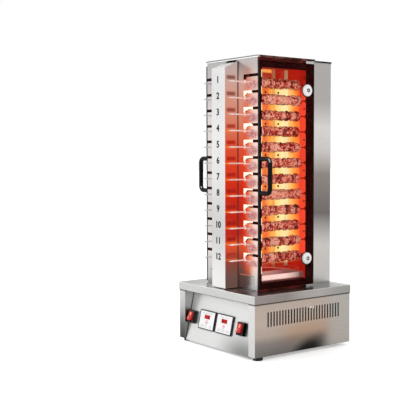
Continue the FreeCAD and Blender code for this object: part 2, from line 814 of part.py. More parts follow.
def make_rails():
    """Header and sill behind each door, and the blocks that hold the door's pivot pins."""
    steel = dim.steel
    gap = dim.fit_gap
    rail_x = dim.frame_inner - gap - steel
    swing = hinge_y - 18.0
    door_top = deck + dim.door_top
    door_foot = deck + dim.door_foot
    header = [(wall_back, door_top - 10.0), (swing, door_top - 10.0), (swing, door_top + 1.0),
              (jamb_y, door_top + 1.0), (jamb_y, wall_top), (wall_back, wall_top)]
    sill = [(wall_back, deck), (jamb_y, deck), (jamb_y, door_foot - 1.0), (swing, door_foot - 1.0),
            (swing, door_foot + 18.0), (wall_back, door_foot + 18.0)]
    parts = [extrusion("header_body", "x", header, rail_x, steel),
             extrusion("sill_body", "x", sill, rail_x, steel)]
    axis_y = hinge_y
    block_y = (door_rear - dim.pivot_block_length, door_rear)
    block_x = (rail_x + steel, dim.glass_inner + dim.glass_thickness)
    foot_block = box("foot_block", block_x, block_y, (deck, door_foot - gap))
    foot_pin = cylinder("foot_pin", dim.pivot_radius, (dim.hinge_axis_x, axis_y, deck), "z",
                        dim.pivot_length + dim.door_foot - gap)
    parts.append(boolean("Fuse", "foot_pivot", foot_block, foot_pin))
    lip_clear = dim.roof_half - steel - gap
    top_block = box("top_block", (rail_x + steel, lip_clear), block_y, (door_top + gap, wall_top))
    pin_low = door_top - dim.pivot_length
    top_pin = cylinder("top_pin", dim.pivot_radius, (dim.hinge_axis_x, axis_y, pin_low), "z",
                       dim.pivot_length + 4.0)
    parts.append(boolean("Fuse", "top_pivot", top_block, top_pin))
    parts += [mirrored(f"rail_twin_{number}", part) for number, part in enumerate(parts)]
    node("door_rails", group("rails_group", *parts))


# ---------------------------------------------------------------- doors
def make_doors():
    y0 = front + dim.door_front
    y1 = door_rear
    low = deck + dim.door_foot
    high = deck + dim.door_top
    disc_y = door_rear - dim.disc_inset
    discs = (deck + dim.disc_low, deck + dim.disc_high)
    outer = dim.glass_inner + dim.glass_thickness

    glass = extrusion("glass_body", "x", rectangle((y0, low), (y1, high)), dim.glass_inner,
                      dim.glass_thickness)

    ring_front = wall_back + 1.0
    ring = extrusion("frame_body", "x", rectangle((ring_front, low), (y1, high)), dim.frame_inner,
                     dim.glass_inner - dim.frame_inner)
    doc.recompute()
    before = ring.Shape.Volume
    window = rectangle((y0 + dim.border_front, low + dim.border_foot),
                       (y1 - dim.border_rear, high - dim.border_top))
    cut_polygon(ring, "x", window, dim.frame_inner - 1.0, dim.glass_inner - dim.frame_inner + 2.0)
    check_cut(ring, before)
    bore = dim.pivot_radius + dim.bearing_clearance
    pivot = (dim.hinge_axis_x, hinge_y)
    cut_circle(ring, "z", pivot, bore, low - 1.0, dim.pivot_length + 2.0)
    cut_circle(ring, "z", pivot, bore, high - dim.pivot_length - 1.0, dim.pivot_length + 2.0)
    teeth = sketch(ring, "y", wall_y)
    middle = deck + dim.first_slot
    half = dim.slot_height / 2.0 - dim.fit_gap
    draw_polygon(teeth, rectangle((dim.tooth_inner, middle - half), (dim.glass_inner, middle + half)))
    tooth = pad(ring, teeth, "y", dim.steel + 4.0)
    pattern(ring, tooth, teeth, "V_Axis", dim.level_pitch, dim.level_count)

    seal = outer + dim.gasket_thickness
    hinge_parts = []
    step = dim.disc_bevel
    rim = dim.disc_thickness - step
    for level in discs:
        gasket = prism("gasket", 24, dim.gasket_radius, (outer, disc_y, level), "x", dim.gasket_thickness)
        disc = prism("disc", 24, dim.disc_radius, (seal, disc_y, level), "x", rim)
        cap = prism("disc_cap", 24, dim.disc_radius - step, (seal + rim, disc_y, level), "x", step)
        hinge_parts.append(boolean("Fuse", "hinge_disc", gasket, disc, cap))

    handle = make_handle(outer)
    for name, item in (("door_glass", glass), ("door_frame", ring), ("door_handle", handle),
                       ("door_hinges", group("hinges_group", *hinge_parts))):
        node(f"{name}_right", item)
        node(f"{name}_left", mirrored(f"{name}_twin", item))


def make_handle(outer):
    """A bow handle: a twelve-sided bar bent in three steps at each corner, both ends on the glass."""
    y = front + dim.handle_y
    low = deck + dim.handle_low
    high = deck + dim.handle_high
    reach = outer + dim.handle_reach
    bend = dim.handle_bend
    small = bend * 0.1339746
    steps = [(bend, bend * 0.0), (bend * 0.5, small), (small, bend * 0.5), (bend * 0.0, bend)]
    points = [(outer, low)]
    points += [(reach - u, low + v) for u, v in steps]
    points += [(reach - u, high - v) for u, v in reversed(steps)]
    points += [(outer, high)]
    body = new_body("handle_body")
    path = sketch(body, "y", y)
    vectors = [FreeCAD.Vector(as_size(u).value, as_size(v).value, 0) for u, v in points]
    count = len(points) - 1
    for number in range(count):
        path.addGeometry(Part.LineSegment(vectors[number], vectors[number + 1]))
    for number in range(count - 1):
        path.addConstraint(Sketcher.Constraint("Coincident", number, 2, number + 1, 1))
    for number in range(count):
        pin_point(path, number, 1, points[number])
    pin_point(path, count - 1, 2, points[count])
    section = sketch(body, "x", outer)
    draw_polygon(section, ring_of_twelve((y, low), dim.handle_radius))
    pipe = body.newObject("PartDesign::AdditivePipe", "handle_bar")
    pipe.Profile = section
    pipe.Spine = (path, [f"Edge{number + 1}" for number in range(count)])
    pipe.Transition = "Right corner"
    return body


# ---------------------------------------------------------------- heating core
def make_core():
    """Reflectors beside the middle of the tower, quartz tubes in front of them, held at both ends."""
    steel = dim.steel
    reflectors, tubes, holders = [], [], []
    reflectors.append(box("reflector", (dim.core_half - steel, dim.core_half), (wall_back, rear_wall_y),
                          (deck, wall_top)))
    tube_low = deck + dim.tube_foot
    tube_high = deck + dim.tube_top
    for column in range(int(dim.tube_count.value)):
        y = front + dim.tube_first + dim.tube_pitch * column
        foot = (dim.tube_offset, y, tube_low)
        tubes.append(prism("quartz_tube", 12, dim.tube_radius, foot, "z", tube_high - tube_low))
    reach = dim.tube_pitch * (dim.tube_count - 1.0)
    margin = dim.holder_width / 2.0
    y_span = (front + dim.tube_first - margin, front + dim.tube_first + reach + margin)
    for low in (tube_low - dim.holder_height, tube_high):
        holders.append(box("holder", (dim.core_half, dim.core_half + dim.holder_width), y_span,
                           (low, low + dim.holder_height)))
    groups = (("core_reflectors", reflectors), ("heater_tubes", tubes), ("heater_holders", holders))
    for name, parts in groups:
        twins = [mirrored(f"{name}_twin{number}", part) for number, part in enumerate(parts)]
        node(name, group(f"{name}_group", *(parts + twins)))


# ---------------------------------------------------------------- skewers and their drive
def make_skewers():
    """At each level a square rod with its point, bush and drive socket, and the meat threaded on it."""
    half = dim.rod_width / 2.0
    point = dim.point_width / 2.0
    tip = front + dim.tip_front
    tip_rear = tip + dim.tip_length
    wedge = doc.addObject("Part::Wedge", "point")
    for prop, size in (("Xmin", -point), ("Xmax", point), ("Zmin", -point), ("Zmax", point), ("X2min", -half),
                       ("X2max", half), ("Z2min", -half), ("Z2max", half), ("Ymin", tip), ("Ymax", tip_rear)):
        bind(wedge, prop, size)
    rod = box("rod", (-half, half), (tip_rear, socket_y), (-half, half))
    bush = prism("bush", 12, dim.bush_radius, (0.0, wall_y - dim.bush_overhang, 0.0), "y",
                 dim.steel + dim.bush_overhang * 2.0)
    socket = prism("socket", 12, dim.socket_radius, (0.0, socket_y, 0.0), "y", dim.socket_length)

    chunks = []
    scales = (0.94, 1.0, 0.9)
    meat_y = front + dim.meat_front
    length = (rear_wall_y - dim.meat_end - meat_y) / float(len(scales))
    for number, scale in enumerate(scales):
        start = (0.0, meat_y + length * float(number), 0.0)
        chunks.append(prism("chunk", 6, dim.meat_radius * scale, start, "y", length))
    whole = boolean("Fuse", "loaded_rod", rod, wedge, bush, socket, *chunks)
    for side, sign in (("left", -1.0), ("right", 1.0)):
        for level in range(int(dim.level_count.value)):
            skewer = group("skewer", whole)
            put(skewer, dim.skewer_offset * sign, 0.0, skewer_top - dim.level_pitch * float(level))
            node(f"skewer_{side}_{level + 1:02d}", skewer)


def make_drive():
    """On each side a gear motor behind the lowest skewer and the chain loop that joins the sockets."""
    motors, chains = [], []
    axis = dim.skewer_offset
    box_front = socket_end + 1.0
    box_rear = box_front + dim.gearbox_depth
    half_x = dim.gearbox_width / 2.0
    low = skewer_low - dim.gearbox_height / 2.0
    high = skewer_low + dim.gearbox_height / 2.0
    gearbox = box("gearbox", (axis - half_x, axis + half_x), (box_front, box_rear), (low, high))
    cover = cover_y - dim.steel
    motor = prism("motor", 24, dim.motor_radius, (axis, box_rear, skewer_low), "y", cover - box_rear)
    wall = rear_wall_y + dim.steel
    inset = dim.standoff_radius + 1.0
    studs = [prism("standoff", 6, dim.standoff_radius, (x, wall, z), "y", box_front - wall)
             for x in (axis - half_x + inset, axis + half_x - inset) for z in (low + inset, high - inset)]
    motors.append(boolean("Fuse", "gear_motor", gearbox, motor, *studs))

    inner = dim.socket_radius + dim.bearing_clearance
    outer = inner + dim.chain_thickness
    chain_y = socket_end - dim.chain_width - 1.0
    body = new_body("chain_body")
    loop = sketch(body, "y", chain_y)
    draw_polygon(loop, chain_outline(axis, outer))
    pad(body, loop, "y", dim.chain_width)
    cut_polygon(body, "y", chain_outline(axis, inner), chain_y, dim.chain_width)
    chains.append(body)
    for name, parts in (("drive_motors", motors), ("drive_chains", chains)):
        twins = [mirrored(f"{name}_twin{number}", part) for number, part in enumerate(parts)]
        node(name, group(f"{name}_group", *(parts + twins)))


def chain_outline(axis, reach):
    """The long loop round the first and the last socket of a side."""
    upper = ring_of_twelve((axis, skewer_top), reach)
    lower = ring_of_twelve((axis, skewer_low), reach)
    return upper[:6] + lower[6:]


# ---------------------------------------------------------------- drip drawers
def make_drawers():
    """A drawer under each chamber that slides out to the front, and the sloped plate above it."""
    gap = dim.fit_gap
    wall = dim.drawer_wall
    low = deck + gap
    high = deck + dim.drawer_height
    y0 = wall_y
    y1 = jamb_y - dim.drawer_end
    body = new_body("drawer_body")
    outline = sketch(body, "z", low)
    draw_polygon(outline, rectangle((dim.drawer_inner, y0), (dim.drawer_outer, y1)))
    pad(body, outline, "z", high - low)
    doc.recompute()
    before = body.Shape.Volume
    inside = rectangle((dim.drawer_inner + wall, y0 + dim.steel), (dim.drawer_outer - wall, y1 - wall))
    cut_polygon(body, "z", inside, low + wall, dim.drawer_height)
    check_cut(body, before)
    lip = sketch(body, "z", low)
    draw_polygon(lip, rectangle((dim.drawer_inner, y0 - dim.drawer_lip), (dim.drawer_outer, y0)))
    pad(body, lip, "z", dim.steel)
    node("drip_drawer_right", body)
    node("drip_drawer_left", mirrored("drawer_twin", body))

    start = wall_back
    tail = dim.deflector_rear + deck
    head = dim.deflector_front + deck
    hook = tail + dim.deflector_hook
    slope = [(start, head), (y1, tail), (y1, hook), (y1 - wall, hook), (y1 - wall, tail + wall),
             (start, head + wall)]
    width = dim.deflector_outer - dim.deflector_inner
    plate = extrusion("deflector_body", "x", slope, dim.deflector_inner, width)
    node("drip_deflectors", group("deflectors_group", plate, mirrored("deflector_twin", plate)))


# ---------------------------------------------------------------- build and write
make_base()
make_gland()
make_control_panel()
make_controllers()
make_switches()
make_relays()
make_column()
make_front_walls()
make_rear_walls()
make_housing()
make_roof()
make_rails()
make_doors()
make_core()
make_skewers()
make_drive()
make_drawers()
doc.recompute()

for item in doc.Objects:
    if "Invalid" in item.State or "Error" in item.State:
        raise RuntimeError(f"{item.Name} ({item.Label}) failed: {item.State}")
for name, item in nodes.items():
    if item.Shape.isNull() or not item.Shape.isValid():
        raise RuntimeError(f"{name} has no valid shape")

os.makedirs("parts", exist_ok=True)
for name, item in nodes.items():
    item.Shape.exportStep(f"parts/{name}.step")
print(f"{len(nodes)} sub-parts written")
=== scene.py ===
"""Looks of the electric skewer grill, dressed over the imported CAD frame. Metres, CAD frame."""
import math
import random

import bmesh
import bpy
from mathutils import Matrix, Vector, noise


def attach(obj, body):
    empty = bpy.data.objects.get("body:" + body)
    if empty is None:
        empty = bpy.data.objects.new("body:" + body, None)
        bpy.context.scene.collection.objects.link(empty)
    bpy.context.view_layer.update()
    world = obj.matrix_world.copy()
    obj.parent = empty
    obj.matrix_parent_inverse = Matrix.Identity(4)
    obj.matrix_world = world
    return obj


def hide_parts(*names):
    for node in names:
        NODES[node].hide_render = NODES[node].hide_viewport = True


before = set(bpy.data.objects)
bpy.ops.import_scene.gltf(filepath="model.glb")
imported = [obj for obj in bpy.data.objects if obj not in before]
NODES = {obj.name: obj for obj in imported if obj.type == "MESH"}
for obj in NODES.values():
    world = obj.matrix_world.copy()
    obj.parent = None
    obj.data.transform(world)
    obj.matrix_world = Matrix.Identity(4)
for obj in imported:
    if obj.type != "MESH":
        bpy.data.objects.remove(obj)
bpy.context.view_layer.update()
MM = 0.001
SIDES = (("left", -1), ("right", 1))


def box(node):
    """The low corner, the high corner and the middle of a solid's box, to a thousandth of a millimetre."""
    corners = [NODES[node].matrix_world @ Vector(corner) / MM for corner in NODES[node].bound_box]
    low, high = ([pick(corner[k] for corner in corners) for k in range(3)] for pick in (min, max))
    centre = [(a + b) / 2 for a, b in zip(low, high)]
    return [[round(value, 3) for value in point] for point in (low, high, centre)]


# Places, in millimetres. What a solid's box tells is read from it.
LOW, HIGH, CENTRE = range(3)    # of what box gives
X, Y, Z = range(3)
FRONT = box("base_top_plate")[LOW][Y]
DECK = box("base_top_plate")[HIGH][Z]
NUMBERS = range(1, 13)          # of the levels, from the top
SKEWER_DROP = 21.0              # a skewer's axis below its slot
LEVELS = [box(f"skewer_right_{level:02d}")[CENTRE][Z] + SKEWER_DROP for level in NUMBERS]
PITCH = (LEVELS[0] - LEVELS[-1]) / (len(LEVELS) - 1)
FIRST_LEVEL = LEVELS[-1] - DECK
BUSH_Y = FRONT + 76.2
SOCKET_Y = FRONT + 371.2
CHUNKS_FIRST = FRONT + 87.0     # where a skewer's first chunk of meat starts
CHUNKS_LAST = FRONT + 328.0     # no chunk starts behind this
CHUNKS_END = FRONT + 344.0
MEAT_ENDS = (FRONT + 84.5, FRONT + 346.0)
MEAT_RADIUS = 19.8
CHAMBER_FRONT = box("front_wall_right")[HIGH][Y] + 0.5
CORE_X = box("core_reflectors")[HIGH][X]
REAR_WALL = box("core_reflectors")[HIGH][Y]
COLUMN_FACE = box("number_column")[LOW][Y]
GLASS_FACE = box("door_glass_right")[HIGH][X]
TUBES = box("heater_tubes")
TUBE_RADIUS = 7.0
TUBE_X = TUBES[HIGH][X] - TUBE_RADIUS
TUBE_FIRST = TUBES[LOW][Y] + TUBE_RADIUS
TUBE_PITCH = (TUBES[HIGH][Y] - TUBE_RADIUS - TUBE_FIRST) / 3
SCREW_SETBACK = 30.9            # of a screw behind the tube in front of it
CLAMP_RADIUS = 25.0
BAR_RADIUS = 8.5                # of the bow handles
TILT = math.radians(12.5)       # control panel
PANEL_FOOT = Vector((0.0, FRONT + 3.8, 8.5))
CONTROLS_Z = 91.0
CONTROLLER_X = 53.4             # from the middle of the two controllers
NUMERAL_X = -3.0
NUMERAL_DROP = 12.0             # a numeral's middle below its slot


# ---------------------------------------------------------------- node helpers
class Surface:
    """A Principled material and short ways to feed its sockets."""

    def __init__(self, name, color=(0.8, 0.8, 0.8), rough=0.5, metal=0.0, **sockets):
        self.mat = bpy.data.materials.new(name)
        self.mat.use_nodes = True
        self.tree = self.mat.node_tree
        self.shader = self.tree.nodes["Principled BSDF"]
        self.put("Base Color", (*color, 1.0))
        self.put("Roughness", rough)
        self.put("Metallic", metal)
        for key, value in sockets.items():
            self.put(key.replace("_", " "), value)
        self.mat.diffuse_color = (*color, 1.0)

    def put(self, socket, value):
        """Sets or links one of the shader's sockets."""
        if isinstance(value, bpy.types.NodeSocket):
            self.tree.links.new(value, self.shader.inputs[socket])
        else:
            self.shader.inputs[socket].default_value = value

    def add(self, kind, inputs=(), **props):
        """A node with its properties, and its inputs set or linked."""
        item = self.tree.nodes.new(kind)
        for key, value in props.items():
            setattr(item, key, value)
        for key, value in dict(inputs).items():
            if isinstance(value, bpy.types.NodeSocket):
                self.tree.links.new(value, item.inputs[key])
            else:
                item.inputs[key].default_value = value
        return item

    def coords(self, scale):
        source = self.add("ShaderNodeTexCoord").outputs["Object"]
        return self.add("ShaderNodeMapping", {"Vector": source, "Scale": scale}).outputs["Vector"]

    def noise(self, vector, detail=3.0, rough=0.5, distortion=0.0):
        return self.add("ShaderNodeTexNoise", {"Vector": vector, "Scale": 1.0, "Detail": detail,
                                               "Roughness": rough, "Distortion": distortion}).outputs["Fac"]

    def ramp(self, fac, *stops):
        """A colour ramp of (place, colour or grey) stops."""
        item = self.add("ShaderNodeValToRGB", {"Fac": fac})
        ends = item.color_ramp.elements
        while len(ends) < len(stops):
            ends.new(0.5)
        for end, (place, color) in zip(ends, stops):
            end.position = place
            end.color = (color, color, color, 1.0) if isinstance(color, float) else (*color, 1.0)
        return item.outputs["Color"]

    def math(self, kind, a, b=0.0, c=0.0, clamp=False):
        return self.add("ShaderNodeMath", {0: a, 1: b, 2: c}, operation=kind, use_clamp=clamp).outputs[0]

    def times(self, a, b):
        return self.math("MULTIPLY", a, b)

    def linear(self, a, factor, offset):
        return self.math("MULTIPLY_ADD", a, factor, offset)

    def magnitude(self, a):
        """A number without its sign."""
        return self.math("ABSOLUTE", a)

    def distance(self, a, b):
        return self.math("SQRT", self.math("ADD", self.times(a, a), self.times(b, b)))

    def over(self, a, limit):
        return self.math("GREATER_THAN", a, limit)

    def under(self, a, limit):
        return self.math("LESS_THAN", a, limit)

    def span(self, value, low, high, to_low=0.0, to_high=1.0):
        """A soft step of value from low to high."""
        item = self.add("ShaderNodeMapRange", {"Value": value, "From Min": low, "From Max": high,
                                               "To Min": to_low, "To Max": to_high})
        item.interpolation_type = "SMOOTHSTEP"
        return item.outputs["Result"]

    def band(self, value, low, low_full, high_full, high):
        """One between two soft edges, zero outside."""
        return self.times(self.span(value, low, low_full), self.span(value, high_full, high, 1.0, 0.0))

    def mix(self, fac, a, b, blend="MIX"):
        item = self.add("ShaderNodeMix", data_type="RGBA", blend_type=blend)
        for socket, value in zip((item.inputs[0], item.inputs[6], item.inputs[7]), (fac, a, b)):
            if isinstance(value, bpy.types.NodeSocket):
                self.tree.links.new(value, socket)
            else:
                no_alpha = isinstance(value, tuple) and len(value) == 3
                socket.default_value = (*value, 1.0) if no_alpha else value
        return item.outputs[2]

    def bump(self, height, distance, strength, edge=0.0):
        """Relief from a height, over edges rounded by edge metres."""
        inputs = {"Height": height, "Distance": distance, "Strength": strength}
        if edge:
            inputs["Normal"] = self.add("ShaderNodeBevel", {"Radius": edge}, samples=4).outputs["Normal"]
        self.put("Normal", self.add("ShaderNodeBump", inputs).outputs["Normal"])

    def axes(self):
        item = self.add("ShaderNodeSeparateXYZ", {"Vector": self.add("ShaderNodeTexCoord").outputs["Object"]})
        return [item.outputs[letter] for letter in "XYZ"]


def steel(name, color, rough, grain, edge=0.0007, tone=None):
    """Brushed sheet: fine scratches along one axis, broad streaks, smudges, painted shade in seams and
    creases from ambient occlusion, rounded folds.
    tone takes the surface and gives a socket that the colour is multiplied by: painted shade and painted
    reflection."""
    streak, smudge = 0.06, 0.05
    s = Surface(name, color, rough, 1.0)
    fine = s.noise(s.coords([4.0 if letter == grain else 620.0 for letter in "xyz"]), detail=4.0, rough=0.6)
    broad = s.noise(s.coords([0.8 if letter == grain else 46.0 for letter in "xyz"]), detail=2.0)
    smudges = s.noise(s.coords((7.0, 7.0, 7.0)), detail=4.0, rough=0.65, distortion=0.6)
    value = s.linear(fine, streak, s.linear(broad, streak, 1.0 - streak))
    # painted shade: ambient occlusion darkens the colour in seams, creases and corners
    seam_shade = s.add("ShaderNodeAmbientOcclusion", {"Distance": 0.010}, samples=4).outputs["AO"]
    value = s.times(value, s.span(seam_shade, 0.25, 0.85, 0.35, 1.0))
    base = s.mix(1.0, (*color, 1.0), value, "MULTIPLY")
    if tone:
        base = s.mix(1.0, base, tone(s), "MULTIPLY")
    s.put("Base Color", base)
    worn = s.linear(fine, 0.10, rough - 0.05)
    s.put("Roughness", s.linear(s.span(smudges, 0.45, 0.75), smudge, worn))
    s.bump(fine, 0.00004, 0.55, edge)
    s.fine, s.base = fine, base
    return s


# ---------------------------------------------------------------- mesh helpers
def make_mesh(name, bm, materials, sharp):
    """A smooth mesh from a bmesh, with edges sharper than an angle in degrees kept sharp."""
    mesh = bpy.data.meshes.new(name)
    bm.normal_update()
    bm.to_mesh(mesh)
    bm.free()
    for surface in materials:
        mesh.materials.append(surface.mat)
    for face in mesh.polygons:
        face.use_smooth = True
    mesh.set_sharp_from_angle(angle=math.radians(sharp))
    return mesh


def place_piece(name, data, body, replaces=(), at=(0.0, 0.0, 0.0), turn=(0.0, 0.0, 0.0),
                scale=(1.0, 1.0, 1.0)):
    """A piece that rides on a body and the CAD nodes that it stands for."""
    item = bpy.data.objects.new(name, data)
    bpy.context.scene.collection.objects.link(item)
    item.location = Vector(at) * MM
    item.rotation_euler = turn
    item.scale = scale
    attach(item, body)
    if replaces:
        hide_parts(*replaces)


def make(name, bm, materials, body, replaces=()):
    place_piece(name, make_mesh(name, bm, materials, 38), body, replaces)


def lathe(bm, profile, origin, axis, segments, material=0):
    """Turns (along, radius) points about an axis. material may be one index per band."""
    axis = Vector(axis).normalized()
    side = axis.orthogonal().normalized()
    other = axis.cross(side)
    rings = []
    for along, radius in profile:
        centre = Vector(origin) + axis * along
        if radius < 1e-6:
            rings.append([bm.verts.new(centre * MM)])
            continue
        rings.append([bm.verts.new((centre + (side * math.cos(a) + other * math.sin(a)) * radius) * MM)
                      for a in (2 * math.pi * k / segments for k in range(segments))])
    for number, (first, second) in enumerate(zip(rings, rings[1:])):
        index = material if isinstance(material, int) else material[number]
        for k in range(segments):
            follow = (k + 1) % segments
            corners = [first[k % len(first)], first[follow % len(first)],
                       second[follow % len(second)], second[k % len(second)]]
            corners = [v for i, v in enumerate(corners) if v not in corners[:i]]
            if len(corners) > 2:
                bm.faces.new(corners).material_index = index


def tube(bm, points, radius, segments):
    """A round bar along a list of points, with flat ends."""
    points = [Vector(p) for p in points]
    side = None
    rings = []
    for number, point in enumerate(points):
        before = points[max(number - 1, 0)]
        after = points[min(number + 1, len(points) - 1)]
        along = (after - before).normalized()
        side = (along.orthogonal() if side is None else side - along * side.dot(along)).normalized()
        other = along.cross(side)
        rings.append([bm.verts.new((point + (side * math.cos(a) + other * math.sin(a)) * radius) * MM)
                      for a in (2 * math.pi * k / segments for k in range(segments))])
    for first, second in zip(rings, rings[1:]):
        for k in range(segments):
            follow = (k + 1) % segments
            bm.faces.new((first[k], first[follow], second[follow], second[k]))
    bm.faces.new(list(reversed(rings[0])))
    bm.faces.new(rings[-1])


def slab(bm, low, high, matrix, bevel=0.0, material=0, segments=2):
    """A box from its corners, with rounded edges, in a frame given in millimetres."""
    made = bmesh.ops.create_cube(bm, size=1.0)
    size = [b - a for a, b in zip(low, high)]
    middle = [(a + b) / 2 for a, b in zip(low, high)]
    bmesh.ops.scale(bm, vec=size, verts=made["verts"])
    bmesh.ops.translate(bm, vec=middle, verts=made["verts"])
    faces = dict.fromkeys(f for v in made["verts"] for f in v.link_faces)
    if bevel:
        edges = list(dict.fromkeys(e for f in faces for e in f.edges))
        made = bmesh.ops.bevel(bm, geom=edges, offset=bevel, segments=segments, affect="EDGES", profile=0.5)
        faces = dict.fromkeys(f for v in made["verts"] for f in v.link_faces)
    verts = list(dict.fromkeys(v for f in faces for v in f.verts))
    for face in faces:
        face.material_index = material
    bmesh.ops.transform(bm, matrix=matrix, verts=verts)
    bmesh.ops.scale(bm, vec=(MM, MM, MM), verts=verts)


def panel_matrix(x):
    """The control panel's frame at a control: x across, y into the panel, z up its face."""
    return (Matrix.Translation(PANEL_FOOT) @ Matrix.Rotation(-TILT, 4, "X")
            @ Matrix.Translation((x, 0.0, CONTROLS_Z)))


# ---------------------------------------------------------------- materials of the CAD nodes
def heights(s):
    """Height above the deck in millimetres."""
    return s.linear(s.axes()[2], 1000.0, -DECK)


def facing(s, axis):
    """How far the surface faces along an axis of its own part."""
    normal = s.add("ShaderNodeSeparateXYZ", {"Vector": s.add("ShaderNodeTexCoord").outputs["Normal"]})
    return normal.outputs[axis]


def square_to(s, axis):
    """One where the surface faces along an axis, either way."""
    return s.over(s.magnitude(facing(s, axis)), 0.6)


def standing(s):
    """Where the surface stands in the room, whatever its part's pose."""
    place = s.add("ShaderNodeSeparateXYZ", {"Vector": s.add("ShaderNodeNewGeometry").outputs["Position"]})
    return [place.outputs[letter] for letter in "XYZ"]


def tower_tone(s):
    """Painted reflection: the studio's soft bands on the tall rear cover."""
    wave = s.noise(s.coords((2.0, 2.0, 1.0)), detail=1.0)
    up = s.linear(wave, 90.0, s.math("ADD", heights(s), -45.0))
    return s.ramp(s.span(up, 0.0, 840.0), (0.0, (0.66, 0.65, 0.63)), (0.08, (0.76, 0.73, 0.71)),
                  (0.24, (0.225, 0.205, 0.20)), (0.5, (0.39, 0.345, 0.33)), (0.66, (0.86, 0.83, 0.81)),
                  (0.80, (1.0, 0.98, 0.96)), (0.92, (0.64, 0.62, 0.60)))


def side_tone(s):
    """Painted light on the base's sides: warm and mid grey, a dark pool of painted reflection low down, a
    warm painted glow, painted shade in the slots and a painted shade line under the deck.
    Their front posts are pale, the left one darker at its foot as painted shade, and their inner faces are
    painted dark as shade."""
    x, y, z = s.axes()
    # painted shade and reflection: the sides darker towards the bottom, with a dark pool low down
    low = s.ramp(s.span(z, 0.012, 0.200), (0.0, 0.30), (0.14, 0.40), (0.32, 0.66), (0.7, 0.74), (1.0, 0.70))
    low = s.mix(s.span(y, 0.075, 0.15), low, (0.66, 0.66, 0.66))
    dy = s.times(s.math("ADD", y, s.linear(z, -0.8, -0.006)), 10.0)
    dz = s.times(s.math("ADD", z, -0.008), 15.0)
    dist = s.distance(dy, dz)
    pool = s.span(dist, 0.25, 1.05, 0.10, 1.0)
    # painted warm glow in the middle of the side
    glow_y = s.span(s.magnitude(s.math("ADD", y, -0.01)), 0.04, 0.17, 1.0, 0.0)
    glow_z = s.span(s.magnitude(s.math("ADD", z, -0.085)), 0.0, 0.07, 1.0, 0.0)
    warm = s.times(glow_z, glow_y)
    higher = s.times(s.span(z, 0.03, 0.09), s.span(y, 0.08, 0.15, 1.0, 0.0))
    tint = s.mix(higher, (1.0, 0.93, 0.87), (1.0, 0.82, 0.72))
    tint = s.mix(warm, tint, (1.0, 0.70, 0.52))
    side = s.mix(1.0, tint, s.times(low, pool), "MULTIPLY")
    # painted shade: the posts darker towards their foot, the inner faces and the vent slots dark, a dark line
    # under the deck's lip
    post_painted_shade = s.ramp(s.span(z, 0.012, 0.200), (0.0, 0.10), (0.25, 0.24), (0.55, 0.52), (1.0, 0.85))
    far = s.times(s.under(x, -0.15), s.under(facing(s, "Y"), -0.6))
    front = s.mix(far, (0.95, 0.95, 0.95), post_painted_shade)
    both = s.mix(square_to(s, "X"), front, side)
    inner = s.under(s.times(facing(s, "X"), s.math("SIGN", x)), -0.6)
    cheek = s.under(s.linear(z, -0.2217, y), -0.2285)
    cheek = s.math("MAXIMUM", cheek, s.over(y, 0.200))
    inner_painted_shade = s.mix(cheek, (0.05, 0.05, 0.05), s.span(z, 0.012, 0.19, 0.35, 0.75))
    both = s.mix(inner, both, inner_painted_shade)
    slot_painted_shade = s.times(square_to(s, "Y"),
                    s.under(s.magnitude(y), 0.218))
    both = s.mix(slot_painted_shade, both, (0.08, 0.08, 0.08))
    seam_shade = s.span(z, 0.1925, 0.1965, 1.0, 0.16)
    seam_shade = s.times(seam_shade, s.linear(slot_painted_shade, -0.95, 1.0))
    return s.mix(1.0, both, seam_shade, "MULTIPLY")


def deck_tone(s):
    """Painted light on the deck: bright in front, dimmer on its right lip and beside the hot door, a painted
    shade line under its lip and a brighter top edge.
    """
    x, y, z = s.axes()
    lip = s.ramp(s.span(y, -0.23, 0.23), (0.0, (0.56, 0.50, 0.47)), (0.22, (0.50, 0.44, 0.41)),
                 (0.5, (0.72, 0.66, 0.64)), (0.75, (0.78, 0.73, 0.71)), (1.0, (0.62, 0.60, 0.57)))
    # painted shade: dimmer on the right and beside the door
    shade = s.span(s.math("SUBTRACT", x, s.times(y, 0.25)), 0.10, 0.21, 0.40, 0.46)
    shade = s.times(shade, s.span(y, 0.17, 0.22, 1.0, 1.6))
    near = s.times(s.span(y, -0.150, -0.185), s.span(s.magnitude(x), 0.16, 0.20, 1.0, 0.0))
    front = s.mix(s.times(near, 0.3), s.span(x, -0.2, 0.0, 0.46, 0.98), (0.55, 0.50, 0.49))
    top = s.mix(s.span(x, 0.10, 0.16), front, shade)
    sides = s.mix(square_to(s, "X"), (1.0, 1.0, 0.99), lip)
    # painted shade under the lip's edge and a painted highlight along its top edge
    sides = s.mix(1.0, sides, s.span(z, 0.1985, 0.2010, 0.25, 1.0), "MULTIPLY")
    sides = s.mix(1.0, sides, s.span(z, 0.2245, 0.2265, 0.80, 1.05), "MULTIPLY")
    return s.mix(s.over(facing(s, "Z"), 0.6), sides, top)


def roof_tone(s):
    """The roof's lip: a dark upper edge in front, a streaky dark brown painted reflection of the hot chamber
    over the door, black over the cover.
    """
    y, z = s.axes()[1:]
    front = s.span(z, 1.0630, 1.0650, 1.0, 0.22)
    # painted reflection of the red chamber: streaky dark brown over the door
    streak = s.noise(s.coords((1.0, 26.0, 60.0)), detail=2.0)
    brown = s.mix(s.span(streak, 0.45, 0.62), (0.07, 0.022, 0.018), (0.26, 0.11, 0.09))
    brown = s.mix(s.under(y, -0.146), brown, (0.75, 0.72, 0.70))
    right = s.mix(s.over(y, 0.106), brown, s.span(z, 1.0608, 1.0622, 0.9, 0.02))
    sides = s.mix(square_to(s, "X"), front, right)
    return s.mix(square_to(s, "Z"), sides, (0.8, 0.8, 0.8))


